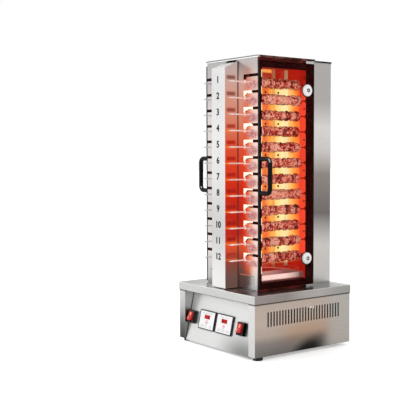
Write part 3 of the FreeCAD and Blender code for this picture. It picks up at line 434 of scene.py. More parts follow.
def wall_tone(s):
    """Painted shade on the front walls: greyer under the roof and towards the deck, and on the drawers'
    fronts.
    """
    return s.ramp(s.span(heights(s), 0.0, 840.0), (0.0, 0.60), (0.04, 0.84), (0.08, 1.0), (0.5, 0.95),
                  (0.86, 0.92), (0.95, 0.72), (1.0, 0.60))


def column_tone(s):
    """Painted shade on the column's front: darker over the deck and near the top."""
    return s.ramp(s.span(heights(s), 0.0, 830.0), (0.0, 0.95), (0.14, 0.78), (0.26, 0.86), (0.45, 1.0),
                  (0.75, 1.0), (1.0, 0.84))


def panel_tone(s):
    """Painted light on the control panel: bright, a soft grey pool of painted reflection low on the right,
    painted shade as dark seams at its rims.
    """
    x, _, z = s.axes()
    # painted reflection: a soft grey pool low on the right; painted shade at the rims
    dx = s.times(s.math("ADD", x, -0.17), 7.5)
    dz = s.times(s.math("ADD", z, -0.010), 16.0)
    dist = s.distance(dx, dz)
    pool = s.span(dist, 0.1, 1.5, 0.36, 1.0)
    rim = s.span(s.magnitude(x), 0.1930, 0.1950, 1.0, 0.25)
    return s.times(s.times(pool, rim), s.span(z, 0.180, 0.196, 1.0, 0.55))


vertical = steel("brushed_vertical", (0.99, 0.98, 0.97), 0.27, "z", tone=tower_tone)
rear_skin = steel("brushed_rear", (0.80, 0.80, 0.79), 0.27, "x")
crosswise = steel("brushed_crosswise", (0.80, 0.80, 0.79), 0.26, "x", tone=deck_tone)
panel_skin = steel("brushed_panel", (0.80, 0.80, 0.79), 0.30, "x", tone=panel_tone)
lengthwise = steel("brushed_lengthwise", (0.80, 0.80, 0.79), 0.27, "y", tone=side_tone)
roof_skin = steel("roof_steel", (0.85, 0.85, 0.84), 0.30, "x", tone=roof_tone)
# painted shade: the floor plate is near black so the base's inside reads dark through its vents
floor_plate_painted_shade = steel("galvanised_in_painted_shade", (0.04, 0.04, 0.04), 0.6, "y")


def make_tray_skin():
    """Drawer steel: grey in front like the wall round it; inside the chamber a pinkish painted glow of the
    heat, darker at the foot as painted shade.
    """
    s = steel("tray_steel", (0.86, 0.84, 0.83), 0.22, "z", tone=wall_tone)
    x, y, z = s.axes()
    inside = s.over(standing(s)[1], CHAMBER_FRONT * MM)
    inside = s.times(inside, s.over(x, 0.0))
    # painted glow of the heat inside the chamber, darker at the foot as painted shade
    glow_and_shade_fade = s.times(s.span(y, -0.02, 0.085, 1.0, 0.30), s.span(z, 0.2575, 0.2625, 0.03, 1.0))
    warm = s.mix(1.0, (0.90, 0.66, 0.60), glow_and_shade_fade, "MULTIPLY")
    s.put("Base Color", s.mix(inside, s.base, warm))
    s.put("Emission Color", s.mix(glow_and_shade_fade, (0.20, 0.005, 0.003), (0.75, 0.42, 0.36)))
    s.put("Emission Strength", s.times(inside, 0.45))
    return s


def wall_glow(s):
    """Painted glow down a front wall beside the column: pale at the top, deep orange-red below."""
    return s.ramp(s.span(heights(s), 20.0, 840.0), (0.0, (0.13, 0.075, 0.062)), (0.02, (0.24, 0.062, 0.045)),
                  (0.034, (0.36, 0.05, 0.03)), (0.071, (0.72, 0.085, 0.028)), (0.12, (0.50, 0.022, 0.012)),
                  (0.18, (0.52, 0.02, 0.01)), (0.38, (0.62, 0.026, 0.009)), (0.56, (0.72, 0.06, 0.02)),
                  (0.66, (0.69, 0.085, 0.038)), (0.77, (0.70, 0.185, 0.10)), (0.83, (0.69, 0.235, 0.15)),
                  (0.915, (0.66, 0.30, 0.22)), (0.966, (0.62, 0.37, 0.31)), (1.0, (0.50, 0.42, 0.39)))


def slot_cells(s, drop):
    """Millimetres above or below the nearest level, measured from a line under its slot."""
    phase = s.math("DIVIDE", s.math("ADD", heights(s), drop - FIRST_LEVEL), PITCH)
    return s.times(s.math("SUBTRACT", phase, s.math("ROUND", phase)), PITCH)


def lit(s, base, color, strength):
    """Painted glow of the heat's light: the emission shows over a darkened base colour."""
    s.put("Base Color", s.mix(s.math("MULTIPLY", strength, 1.06, clamp=True), base, (0.04, 0.012, 0.010)))
    s.put("Emission Color", color)
    s.put("Emission Strength", strength)


def make_column_skin():
    """Satin in front; the right side carries a painted reflection of the hot wall beside it, as emission, and
    ends in a dark line of painted shade.
    """
    s = steel("column_steel", (0.92, 0.91, 0.91), 0.26, "z", tone=column_tone)
    x, y = s.axes()[:2]
    up = heights(s)
    side = s.times(s.over(facing(s, "X"), 0.8), s.over(x, 0.030))
    s.put("Roughness", s.linear(side, -0.14, s.linear(s.fine, 0.06, 0.23)))
    # painted reflection of the hot wall: its cream slot bars, rod streaks and red glow, as emission
    cell = slot_cells(s, 4.0)
    depth = s.magnitude(s.linear(y, 1000.0, 185.0))
    bar = s.span(s.magnitude(cell), 3.0, 11.0, 1.0, 0.0)
    bar = s.times(bar, s.span(depth, 13.0, 26.0, 1.0, 0.0))
    within = s.band(up, 110.0, 140.0, 785.0, 800.0)
    bar = s.times(bar, within)
    line = s.magnitude(slot_cells(s, 22.0))
    streak = s.times(s.span(line, 1.5, 6.0, 1.0, 0.0), s.span(up, 560.0, 640.0, 0.75, 0.0))
    streak = s.times(streak, s.span(up, 90.0, 120.0))
    dark = s.ramp(s.span(up, 100.0, 800.0), (0.0, (0.32, 0.010, 0.004)), (0.7, (0.48, 0.018, 0.006)),
                  (1.0, (0.24, 0.10, 0.075)))
    color = s.mix(bar, s.mix(streak, wall_glow(s), (0.95, 0.20, 0.03)), dark)
    # painted shade: a dark line where the side meets the wall
    seam_shade = s.span(y, -0.1580, -0.1555, 0.0, 1.0)
    color = s.mix(s.times(seam_shade, 0.9), color, (0.05, 0.02, 0.02))
    base = s.mix(1.0, s.base, s.linear(seam_shade, -0.85, 1.0), "MULTIPLY")
    lit(s, base, color, s.times(side, 0.96))
    return s


def make_front_skin():
    """The polished front walls, with a painted glow: red beside the column, pinkish white at the door, and a
    painted reflection of the meat and rods between.
    """
    s = steel("front_wall_steel", (0.86, 0.84, 0.83), 0.16, "z", tone=wall_tone)
    x = s.axes()[0]
    across = s.times(s.magnitude(x), 1000.0)
    up = heights(s)
    ragged = s.noise(s.coords((16.0, 16.0, 5.0)), detail=3.0)
    edge = s.math("ADD", across, s.linear(ragged, 30.0, -15.0))
    # painted glow of the heat, as emission
    warm = s.ramp(s.span(edge, 62.0, 150.0), (0.0, (0.72, 0.06, 0.022)), (0.4, (0.82, 0.18, 0.085)),
                  (0.7, (0.90, 0.45, 0.34)), (1.0, (0.94, 0.74, 0.65)))
    outer = s.times(s.span(edge, 55.0, 108.0), s.span(up, 600.0, 800.0, 1.0, 0.45))
    glow = s.mix(outer, wall_glow(s), warm)
    # painted reflection of the rods
    rod = s.span(s.magnitude(slot_cells(s, 22.5)), 0.8, 2.2, 1.0, 0.0)
    reach = s.times(s.span(across, 79.0, 82.0), s.span(across, 105.0, 122.0, 0.8, 0.0))
    rod = s.times(rod, reach)
    # painted reflection of the meat
    warp = s.noise(s.coords((40.0, 40.0, 40.0)), detail=3.0)
    cell = s.math("ADD", slot_cells(s, 33.0), s.linear(warp, 16.0, -8.0))
    dx = s.times(s.math("SUBTRACT", across, 124.0), 0.50)
    dist = s.distance(cell, dx)
    within = s.band(up, 80.0, 95.0, 765.0, 785.0)
    patch = s.noise(s.coords((85.0, 85.0, 85.0)), detail=4.0, rough=0.7, distortion=1.0)
    painted_meat_reflection = s.times(s.times(s.span(dist, 8.0, 22.0, 1.0, 0.0), 0.88), within)
    flesh = s.ramp(patch, (0.34, (0.30, 0.07, 0.09)), (0.5, (0.52, 0.19, 0.20)), (0.66, (0.80, 0.48, 0.44)))
    glow = s.mix(painted_meat_reflection, glow, flesh)
    glow = s.mix(s.times(rod, within), glow, (0.95, 0.72, 0.66))
    # painted shade beside the column
    glow = s.mix(s.span(across, 41.0, 44.5, 0.75, 0.0), glow, (0.10, 0.05, 0.05))
    body = s.times(s.span(up, 15.0, 105.0, 0.0, 1.0), s.span(up, 745.0, 835.0, 1.0, 0.10))
    body = s.times(body, s.span(s.times(x, 1000.0), -60.0, -30.0, 0.05, 1.0))
    lit(s, s.base, glow, s.times(body, 0.97))
    return s


def make_core_skin():
    """Polished reflectors. The right one carries a painted glow, as emission, for its tubes' light: cream,
    then orange and red towards the rear.
    """
    s = steel("reflector_steel", (0.70, 0.40, 0.25), 0.25, "z")
    x, y = s.axes()[:2]
    depth = s.linear(y, 1000.0, -FRONT)
    up = heights(s)
    cloud = s.noise(s.coords((11.0, 11.0, 16.0)), detail=4.0, rough=0.6)
    depth = s.math("ADD", depth, s.linear(cloud, 50.0, -25.0))
    color = s.ramp(s.linear(depth, 1 / 310.0, -70 / 310.0),
                   (0.0, (1.0, 0.95, 0.80)), (0.28, (1.0, 0.92, 0.74)), (0.36, (0.88, 0.20, 0.035)),
                   (0.435, (0.82, 0.12, 0.02)), (0.532, (0.96, 0.42, 0.08)), (0.626, (1.0, 0.82, 0.29)),
                   (0.723, (1.0, 0.86, 0.43)), (0.819, (0.96, 0.66, 0.22)), (0.913, (0.93, 0.31, 0.045)),
                   (1.0, (0.82, 0.10, 0.027)))
    level = s.magnitude(slot_cells(s, 50.0))
    color = s.mix(s.span(level, 8.0, 27.0, 0.0, 0.22), color, (0.98, 0.26, 0.03))
    ends = s.band(up, 76.0, 92.0, 728.0, 748.0)
    patch = s.times(s.span(up, 790.0, 796.0), s.span(depth, 225.0, 240.0, 1.0, 0.0))
    color = s.mix(ends, s.mix(patch, (0.36, 0.011, 0.004), (1.0, 0.40, 0.08)), color)
    # painted shade: the top front of the reflectors near black under the roof
    black = s.times(s.span(up, 740.0, 750.0), s.span(depth, 160.0, 180.0, 1.0, 0.0))
    color = s.mix(black, color, (0.004, 0.001, 0.001))
    # painted glow: emission on the right reflectors' inner faces, standing for the tubes' light
    strength = s.linear(s.noise(s.coords((30.0, 30.0, 30.0)), detail=3.0), 0.4, 0.84)
    hot = s.times(s.over(facing(s, "X"), 0.5), s.over(x, 0.0))
    cold = s.mix(s.over(x, 0.0), (1.1, 1.9, 2.9), (1.0, 1.0, 1.0))
    cold = s.mix(1.0, s.base, cold, "MULTIPLY")
    base = s.mix(s.times(hot, 0.75), cold, (0.15, 0.02, 0.01))
    s.put("Base Color", s.mix(s.times(black, hot), base, (0.012, 0.006, 0.005)))
    s.put("Emission Color", color)
    strength = s.times(strength, s.span(depth, 150.0, 175.0, 1.1, 0.90))
    s.put("Emission Strength", s.times(strength, hot))
    return s


def make_chamber_skin():
    """Steel of the chamber's rear wall: a painted red glow inside, bare outside."""
    s = steel("chamber_steel", (0.74, 0.72, 0.70), 0.30, "z")
    x, y = s.axes()[:2]
    up = heights(s)
    inside = s.under(y, (REAR_WALL + 0.2) * MM)
    inside = s.times(inside, s.over(x, 0.0))
    # painted red glow inside the chamber, as emission
    cloud = s.linear(s.noise(s.coords((9.0, 9.0, 9.0)), detail=4.0), 0.5, 0.72)
    mid = s.band(up, 70.0, 120.0, 690.0, 760.0)
    s.put("Base Color", s.mix(inside, s.base, (0.25, 0.02, 0.01)))
    s.put("Emission Color", s.mix(mid, (0.30, 0.008, 0.003), (0.74, 0.060, 0.028)))
    s.put("Emission Strength", s.times(s.times(inside, cloud), 0.97))
    return s


def make_rail_skin():
    """Dark rails with a streaky painted glow of the chamber's light on the right ones, and bright machined
    pivot blocks.
    """
    s = steel("rail_steel", (0.80, 0.79, 0.77), 0.32, "z")
    x = s.axes()[0]
    block = s.over(s.magnitude(x), 0.1478)
    s.put("Base Color", s.mix(block, (0.06, 0.010, 0.008, 1.0), s.base))
    # painted glow of the chamber's light: streaky emission on the right rails
    streak = s.noise(s.coords((1.0, 30.0, 60.0)), detail=2.0)
    s.put("Emission Color", (0.22, 0.030, 0.020, 1.0))
    hot = s.math("SUBTRACT", s.over(x, 0.0), block, clamp=True)
    s.put("Emission Strength", s.times(hot, s.span(streak, 0.4, 0.65, 0.05, 0.45)))
    return s


def plastic(name, color, rough, grain=900.0, depth=0.00006, **sockets):
    """Moulded plastic: fine spark-eroded grain, faint colour clouds and dust."""
    s = Surface(name, color, rough, 0.0, **sockets)
    fine = s.noise(s.coords((grain, grain, grain)), detail=2.0)
    cloud = s.noise(s.coords((30.0, 30.0, 30.0)), detail=4.0)
    lighter = tuple(min(1.0, channel * 1.25 + 0.003) for channel in color)
    s.put("Base Color", s.mix(s.span(cloud, 0.4, 0.8), (*color, 1.0), (*lighter, 1.0)))
    s.put("Roughness", s.linear(cloud, 0.16, rough - 0.08))
    s.bump(fine, depth, 0.5, 0.0005)
    return s


def make_frame_skin():
    """Door frame: nearly black brown. The right one's inner front edge has a painted glow between the teeth.
    """
    s = plastic("frame_black", (0.020, 0.0008, 0.0006), 0.30, 500.0, 0.00002, Specular_IOR_Level=0.02)
    y, z = standing(s)[1:]
    # painted glow: the right frame's inner front edge lit between the teeth, as emission
    edge = s.span(s.magnitude(s.math("ADD", y, 0.1354)), 0.0012, 0.0022, 1.0, 0.0)
    edge = s.times(edge, s.span(s.magnitude(slot_cells(s, 24.0)), 14.0, 18.0))
    edge = s.times(edge, s.span(z, 0.262, 0.270))
    edge = s.times(edge, s.span(z, 1.018, 1.026, 1.0, 0.0))
    edge = s.times(edge, s.over(facing(s, "X"), 0.8))
    s.put("Emission Color", (1.0, 0.80, 0.50, 1.0))
    s.put("Emission Strength", edge)
    return s


def make_handle_skin():
    """Handle: black, with a painted highlight streak along its upper front."""
    s = plastic("handle_black", (0.004, 0.003, 0.003), 0.20, 1200.0, 0.00003, Specular_IOR_Level=0.12)
    # painted highlight: emission where the surface faces one fixed direction
    normal = s.add("ShaderNodeNewGeometry").outputs["Normal"]
    towards = s.add("ShaderNodeVectorMath", {0: normal, 1: (0.66, -0.62, 0.42)}, operation="DOT_PRODUCT")
    s.put("Emission Color", (0.85, 0.80, 0.80, 1.0))
    s.put("Emission Strength", s.span(towards.outputs["Value"], 0.93, 0.985, 0.0, 0.55))
    return s


def make_display_skin():
    """Controller display: unreadable lit cells behind a red window."""
    s = Surface("display_red", (0.20, 0.004, 0.004), 0.35, 0.0, Emission_Color=(0.9, 0.02, 0.018, 1.0),
                Specular_IOR_Level=0.1)
    cells = s.noise(s.coords((260.0, 260.0, 90.0)), detail=1.0)
    s.put("Emission Strength", s.span(cells, 0.42, 0.56, 0.10, 0.55))
    return s


frame_black = make_frame_skin()
rubber_black = plastic("rubber_black", (0.012, 0.012, 0.012), 0.6, 700.0, 0.0001, Specular_IOR_Level=0.3)
switch_black = plastic("switch_black", (0.010, 0.010, 0.011), 0.28, Specular_IOR_Level=0.35)
bezel_black = plastic("bezel_black", (0.02, 0.021, 0.023), 0.42)
handle_black = make_handle_skin()
overlay_white = plastic("overlay_white", (0.90, 0.90, 0.90), 0.38, 1500.0, 0.00002)
rocker_red = plastic("rocker_red", (0.50, 0.006, 0.008), 0.2, 1500.0, 0.00002, Coat_Weight=0.5,
                     Specular_IOR_Level=0.3)
neon_orange = plastic("neon_orange", (0.80, 0.16, 0.08), 0.25, 1500.0, 0.00002,
                      Emission_Color=(1.0, 0.28, 0.14, 1.0), Emission_Strength=0.55)
# painted glow: the heater holders' dull red emission
ceramic = plastic("ceramic", (0.22, 0.03, 0.015), 0.8, 400.0, 0.0002,
                  Emission_Color=(0.30, 0.010, 0.004, 1.0), Emission_Strength=0.7)
grey_paint = plastic("grey_paint", (0.24, 0.25, 0.26), 0.45, 300.0, 0.0001)
chain_oiled = steel("chain_oiled", (0.30, 0.29, 0.27), 0.38, "z")
relay_black = plastic("relay_black", (0.03, 0.03, 0.032), 0.5)


def make_glass():
    """A clear pane with dark ground edges and traces of grease."""
    s = Surface("door_glass", (0.10, 0.03, 0.02), 0.03, 0.0, IOR=1.5)
    haze = s.noise(s.coords((5.0, 5.0, 3.0)), detail=5.0, rough=0.6, distortion=1.0)
    rim = s.under(s.magnitude(facing(s, "X")), 0.5)
    rim = s.math("MAXIMUM", rim, s.under(s.axes()[1], -0.1500))
    s.put("Base Color", s.mix(rim, (0.10, 0.03, 0.02), (0.03, 0.03, 0.03)))
    s.put("Roughness", s.span(haze, 0.5, 0.8, 0.02, 0.12))
    s.put("Specular IOR Level", s.linear(rim, -0.45, 0.5))
    s.put("Alpha", s.linear(rim, 0.94, s.span(haze, 0.55, 0.85, 0.02, 0.05)))
    s.mat.surface_render_method = "BLENDED"
    return s


def make_quartz():
    """Quartz tubes. Those of the right chamber are on: their spirals glow, the front one nearly white."""
    s = Surface("quartz_glow", (0.12, 0.02, 0.01), 0.12, 0.0, Specular_IOR_Level=0.2)
    x, y, z = s.axes()
    right = s.over(x, 0.0)
    coil = s.magnitude(s.math("SINE", s.times(z, 900.0)))
    hot = s.noise(s.coords((14.0, 14.0, 14.0)), detail=2.0)
    up = heights(s)
    front = s.under(y, -0.09)
    top = s.times(s.span(up, 728.0, 752.0), s.linear(front, 0.39, 0.60))
    ends = s.times(s.span(up, 74.0, 92.0, 0.30, 1.0), s.math("SUBTRACT", 1.0, top))
    body = s.mix(s.over(y, 0.04), (1.0, 0.46, 0.10), (1.0, 0.85, 0.42))
    body = s.mix(front, body, (1.0, 0.93, 0.74))
    s.put("Base Color", s.mix(right, s.mix(coil, (0.55, 0.53, 0.50), (0.28, 0.26, 0.25)), (0.12, 0.02, 0.01)))
    s.put("Emission Color", s.mix(ends, (1.0, 0.26, 0.17), body))
    level = s.linear(coil, 0.20, s.span(hot, 0.3, 0.7, 0.66, 0.90))
    level = s.times(level, s.linear(front, 0.25, 1.0))
    s.put("Emission Strength", s.times(s.times(level, ends), right))
    return s


def make_deflector_skin():
    """The drip plate: a painted reflection of the red chamber, as emission over a dark base on its flat
    faces, with bright folded edges.
    """
    s = steel("deflector_steel", (0.80, 0.60, 0.52), 0.25, "y")
    # painted reflection of the red chamber on the flat faces
    flat = s.over(s.magnitude(facing(s, "Z")), 0.5)
    s.put("Base Color", s.mix(flat, s.base, (0.05, 0.004, 0.002)))
    s.put("Emission Color", (0.42, 0.008, 0.004, 1.0))
    right = s.over(s.axes()[0], 0.0)
    s.put("Emission Strength", s.times(s.linear(flat, 0.70, 0.25), right))
    return s


tray_skin = make_tray_skin()
NODE_SKINS = {
    "base_top_plate": crosswise, "base_side_left": lengthwise, "base_side_right": lengthwise,
    "base_rear_panel": rear_skin, "base_floor_plate": floor_plate_painted_shade, "control_panel": panel_skin,
    "rubber_feet": rubber_black, "cable_gland": rubber_black, "temperature_controllers": bezel_black,
    "power_relays": relay_black, "number_column": make_column_skin(), "rear_housing": vertical,
    "roof_plate": roof_skin, "heater_holders": ceramic, "door_rails": make_rail_skin(),
    "drip_drawer_left": tray_skin, "drip_drawer_right": tray_skin, "drip_deflectors": make_deflector_skin(),
    "drive_motors": grey_paint, "drive_chains": chain_oiled, "rear_walls": make_chamber_skin(),
    "core_reflectors": make_core_skin(),
}
front_skin = make_front_skin()
glass_skin = make_glass()
quartz = make_quartz()
for side, _ in SIDES:
    NODE_SKINS[f"front_wall_{side}"] = front_skin
    NODE_SKINS[f"door_glass_{side}"] = glass_skin
    NODE_SKINS[f"door_frame_{side}"] = frame_black
for name, skin in NODE_SKINS.items():
    slots = NODES[name].data.materials
    for number in range(len(slots)):
        slots[number] = skin.mat


# ---------------------------------------------------------------- meat and skewers
def make_meat_skin():
    """Seared meat: pale pink folds with deep red creases, the creases partly painted shade; tops and
    undersides painted darker as shade, and a painted glow of its own colour. The mesh's tone holds folds and
    chunks.
    """
    s = Surface("seared_meat", (0.6, 0.2, 0.14), 0.38, 0.0, Coat_Weight=0.15, Coat_Roughness=0.2)
    tone = s.add("ShaderNodeAttribute", attribute_name="tone").outputs["Fac"]
    grain = s.noise(s.coords((52.0, 52.0, 52.0)), detail=4.0, rough=0.6, distortion=1.0)
    veins = s.noise(s.coords((90.0, 36.0, 90.0)), detail=4.0, rough=0.65, distortion=0.8)
    paler = s.span(s.axes()[1], -0.13, 0.12, 0.05, -0.06)
    value = s.math("ADD", s.linear(grain, 1.3, -0.65), s.math("ADD", tone, paler))
    value = s.math("ADD", value, s.linear(veins, 0.8, -0.40))
    color = s.ramp(value, (0.20, (0.06, 0.001, 0.001)), (0.36, (0.22, 0.004, 0.002)),
                   (0.49, (0.50, 0.022, 0.010)), (0.61, (0.66, 0.13, 0.07)), (0.80, (0.80, 0.37, 0.26)))
    # painted shade: darker where the surface faces up or down
    normal = s.add("ShaderNodeSeparateXYZ", {"Vector": s.add("ShaderNodeNewGeometry").outputs["Normal"]})
    rim = s.span(s.magnitude(normal.outputs["Z"]), 0.55, 0.92, 1.0, 0.30)
    color = s.mix(1.0, color, rim, "MULTIPLY")
    s.put("Base Color", color)
    # painted glow: the meat's own colour as emission
    s.put("Emission Color", color)
    s.put("Emission Strength", 0.30)
    s.put("Roughness", s.linear(veins, 0.4, 0.16))
    s.bump(s.math("ADD", grain, s.times(veins, 0.6)), 0.0030, 0.8)
    return s


def make_rod_skin():
    """Bright rods with a painted glow: pinkish in front of the hot chamber, dark red inside the chambers."""
    s = steel("rod_steel", (0.92, 0.90, 0.89), 0.25, "y")
    x, y = standing(s)[:2]
    inside = s.over(y, CHAMBER_FRONT * MM)
    right = s.over(x, 0.0)
    # painted glow and shade: pinkish emission on the right rods, dark red inside the chambers
    s.put("Base Color", s.mix(inside, s.base, (0.24, 0.03, 0.02)))
    s.put("Emission Color", s.mix(inside, (0.85, 0.62, 0.56), (0.22, 0.010, 0.006)))
    s.put("Emission Strength", s.times(right, s.linear(inside, 0.25, 0.22)))
    return s


meat_skin = make_meat_skin()
rod_skin = make_rod_skin()


def add_meat(bm, tone, seed):
    """Chunks threaded on the rod, each a folded, lumpy ball with creases between its folds."""
    rng = random.Random(seed)
    y = CHUNKS_FIRST
    while y < CHUNKS_LAST:
        length = rng.uniform(20.0, 34.0)
        length = min(length, CHUNKS_END - y)
        radius = rng.uniform(16.2, 19.6)
        made = bmesh.ops.create_icosphere(bm, subdivisions=4, radius=1.0)["verts"]
        offset = Vector((rng.uniform(-50, 50), rng.uniform(-50, 50), rng.uniform(-50, 50)))
        flat = rng.uniform(0.88, 1.06)
        turn = Matrix.Rotation(rng.uniform(0, math.tau), 3, "Y")
        shade = min(0.74, max(0.24, rng.gauss(0.50, 0.16)))
        for v in made:
            p = v.co.copy()
            lump = noise.noise(p * 1.2 + offset) * 0.24
            fold = abs(noise.noise(p * 1.5 - offset))
            small = abs(noise.noise(p * 2.9 + offset))
            height = min(fold * 1.8, 0.5) + min(small, 0.25) * 0.7
            grow = 0.90 + lump + height * 0.30
            p = Vector((p.x * radius * flat, p.y * length * 0.58, p.z * radius / flat)) * grow
            p = turn @ p
            reach = math.hypot(p.x, p.z)
            if reach > MEAT_RADIUS:
                p.x *= MEAT_RADIUS / reach
                p.z *= MEAT_RADIUS / reach
            p.y = min(max(p.y + y + length / 2, MEAT_ENDS[0]), MEAT_ENDS[1])
            v.co = p * MM
            # tone: the chunk's random shade, plus painted shade: lighter on raised folds, darker in creases
            # and towards the chunk's ends
            ends = abs(v.co.y / MM - y - length / 2) / (length * 0.58)
            v[tone] = shade - 0.26 + height * 0.9 - 0.42 * max(0.0, ends - 0.60) / 0.40
        for face in set(f for v in made for f in v.link_faces):
            face.material_index = 1
        y += length * 0.88


def make_skewer_mesh(seed):
    """Rod with point, bush and socket along Y, and its meat, about the axis x = z = 0."""
    bm = bmesh.new()
    tone = bm.verts.layers.float.new("tone")
    half = 2.4
    corners = ((-1, -1), (1, -1), (1, 1), (-1, 1))
    rings = [[bm.verts.new(Vector((sx * w, FRONT + y, sz * w)) * MM) for sx, sz in corners]
             for y, w in ((4.4, 0.3), (18.0, half), (371.5, half))]
    for first, second in zip(rings, rings[1:]):
        for k in range(4):
            bm.faces.new((first[k], first[(k + 1) % 4], second[(k + 1) % 4], second[k]))
    bm.faces.new(list(reversed(rings[0])))
    bush = [(0, half), (0, 6.4), (0.8, 7.3), (4.2, 7.3), (5.0, 6.4), (5.0, half)]
    socket = [(0, half), (0, 7.2), (0.8, 7.9), (20.0, 7.9), (20.6, 7.3), (20.6, 0)]
    lathe(bm, bush, (0, BUSH_Y, 0), (0, 1, 0), 28)
    lathe(bm, socket, (0, SOCKET_Y, 0), (0, 1, 0), 28)
    add_meat(bm, tone, seed)
    return make_mesh(f"skewer_mesh_{seed}", bm, [rod_skin, meat_skin], 40)


MESHES = [make_skewer_mesh(seed) for seed in (3, 11, 24, 37, 52, 68)]
for side, sign in SIDES:
    for level in NUMBERS:
        node = f"skewer_{side}_{level:02d}"
        mesh = MESHES[(level * 5 + (sign > 0) * 2) % len(MESHES)]
        centre = box(node)[CENTRE]
        quarters = level * 7 % 4
        place_piece(f"loaded_{node}", mesh, node, (node,), (centre[X], 0.0, centre[Z]),
                    (0.0, math.radians(90.0 * quarters), 0.0))


# ---------------------------------------------------------------- heater tubes, core screws
def make_tubes():
    """Quartz tubes, four in each chamber."""
    foot = TUBES[LOW][Z]
    length = TUBES[HIGH][Z] - foot
    profile = [(0, 0), (0, 4.0), (1.5, 6.8), (length - 1.5, 6.8), (length, 4.0), (length, 0)]
    bm = bmesh.new()
    for sign in (-1, 1):
        for column in range(4):
            lathe(bm, profile, (sign * TUBE_X, TUBE_FIRST + TUBE_PITCH * column, foot), (0, 0, 1), 32)
    make("quartz_tubes", bm, [quartz], "cabinet", ("heater_tubes",))


def make_core_screws():
    """Domed screws: rows of three on the reflectors, and one above each row on the rear wall."""
    skin = steel("screw_steel", (0.16, 0.10, 0.08), 0.40, "z")
    profile = [(-0.2, 4.4), (1.0, 4.2), (2.0, 2.6), (2.2, 0)]
    bm = bmesh.new()
    for sign in (-1, 1):
        for below in range(1, 12, 2):
            z = LEVELS[below] + PITCH / 2 - SKEWER_DROP
            for column in range(3):
                y = TUBE_FIRST + TUBE_PITCH * column + SCREW_SETBACK
                lathe(bm, profile, (sign * CORE_X, y, z), (sign, 0, 0), 16)
            lathe(bm, profile, (sign * 66.0, REAR_WALL, z + PITCH), (0, -1, 0), 16)
    make("core_screws", bm, [skin], "cabinet")


make_tubes()
make_core_screws()


# ---------------------------------------------------------------- doors' fittings
def make_clamps(side, sign):
    """The doors' round clamps: a rubber gasket and a white cap with a screw, stepped like the solid."""
    gasket = [(0.0, 0), (0.0, 24.4), (1.3, 24.4), (1.8, 23.8), (1.8, 21.1)]
    cap = [(1.8, 21.1), (2.1, 21.4), (6.4, 21.3), (7.9, 20.1), (8.7, 18.4), (10.2, 15.4), (10.7, 12.0),
           (10.8, 7.4), (9.6, 7.0), (9.6, 3.7), (10.7, 3.5), (10.8, 0.0)]
    low, high, centre = box(f"door_hinges_{side}")
    bm = bmesh.new()
    for z in (low[Z] + CLAMP_RADIUS, high[Z] - CLAMP_RADIUS):
        origin = (sign * GLASS_FACE, centre[Y], z)
        lathe(bm, gasket, origin, (sign, 0, 0), 64, 1)
        lathe(bm, cap, origin, (sign, 0, 0), 64, [0] * 7 + [1] * 3 + [2])
    make(f"hinge_discs_{side}", bm, [disc_white, rubber_black, bolt_skin], f"door_{side}",
         (f"door_hinges_{side}",))


def make_bow_handle(side, sign):
    """A round bar from the glass, bent down along it and back."""
    low, high, centre = box("door_handle_right")
    foot, top, reach = low[Z] + BAR_RADIUS, high[Z] - BAR_RADIUS, high[X] - BAR_RADIUS
    root, bend = GLASS_FACE + 0.2, 17.0
    arc = [(bend * math.sin(turn), bend * math.cos(turn)) for turn in map(math.radians, range(0, 91, 10))]
    path = [(root, foot)] + [(reach - bend + a, foot + bend - b) for a, b in arc]
    path += [(reach - bend + b, top - bend + a) for a, b in arc] + [(root, top)]
    bm = bmesh.new()
    tube(bm, [(sign * x, centre[Y], z) for x, z in path], 8.4, 32)
    make(f"bow_handle_{side}", bm, [handle_black], f"door_{side}", (f"door_handle_{side}",))


disc_white = plastic("disc_enamel", (0.93, 0.93, 0.93), 0.22, 700.0, 0.00002, Coat_Weight=0.3)
bolt_skin = steel("bolt_steel", (0.72, 0.72, 0.72), 0.25, "y", edge=0.0)
for side, sign in SIDES:
    make_clamps(side, sign)
    make_bow_handle(side, sign)


# ---------------------------------------------------------------- controls
def make_switch_shell(side, place):
    """A switch's black housing: four rounded bars round its well."""
    bars = (((-19.0, -13.0, -24.0), (-13.9, -0.01, 24.0)), ((13.9, -13.0, -24.0), (19.0, -0.01, 24.0)),
            ((-14.2, -13.0, 20.2), (14.2, -0.01, 24.0)), ((-14.2, -13.0, -24.0), (14.2, -0.01, -20.2)))
    bm = bmesh.new()
    for low, high in bars:
        slab(bm, low, high, place, 1.1)
    slab(bm, (-16.2, -0.9, -19.7), (16.2, 30.0, 19.7), place)
    make(f"switch_shell_{side}", bm, [switch_black], "cabinet")


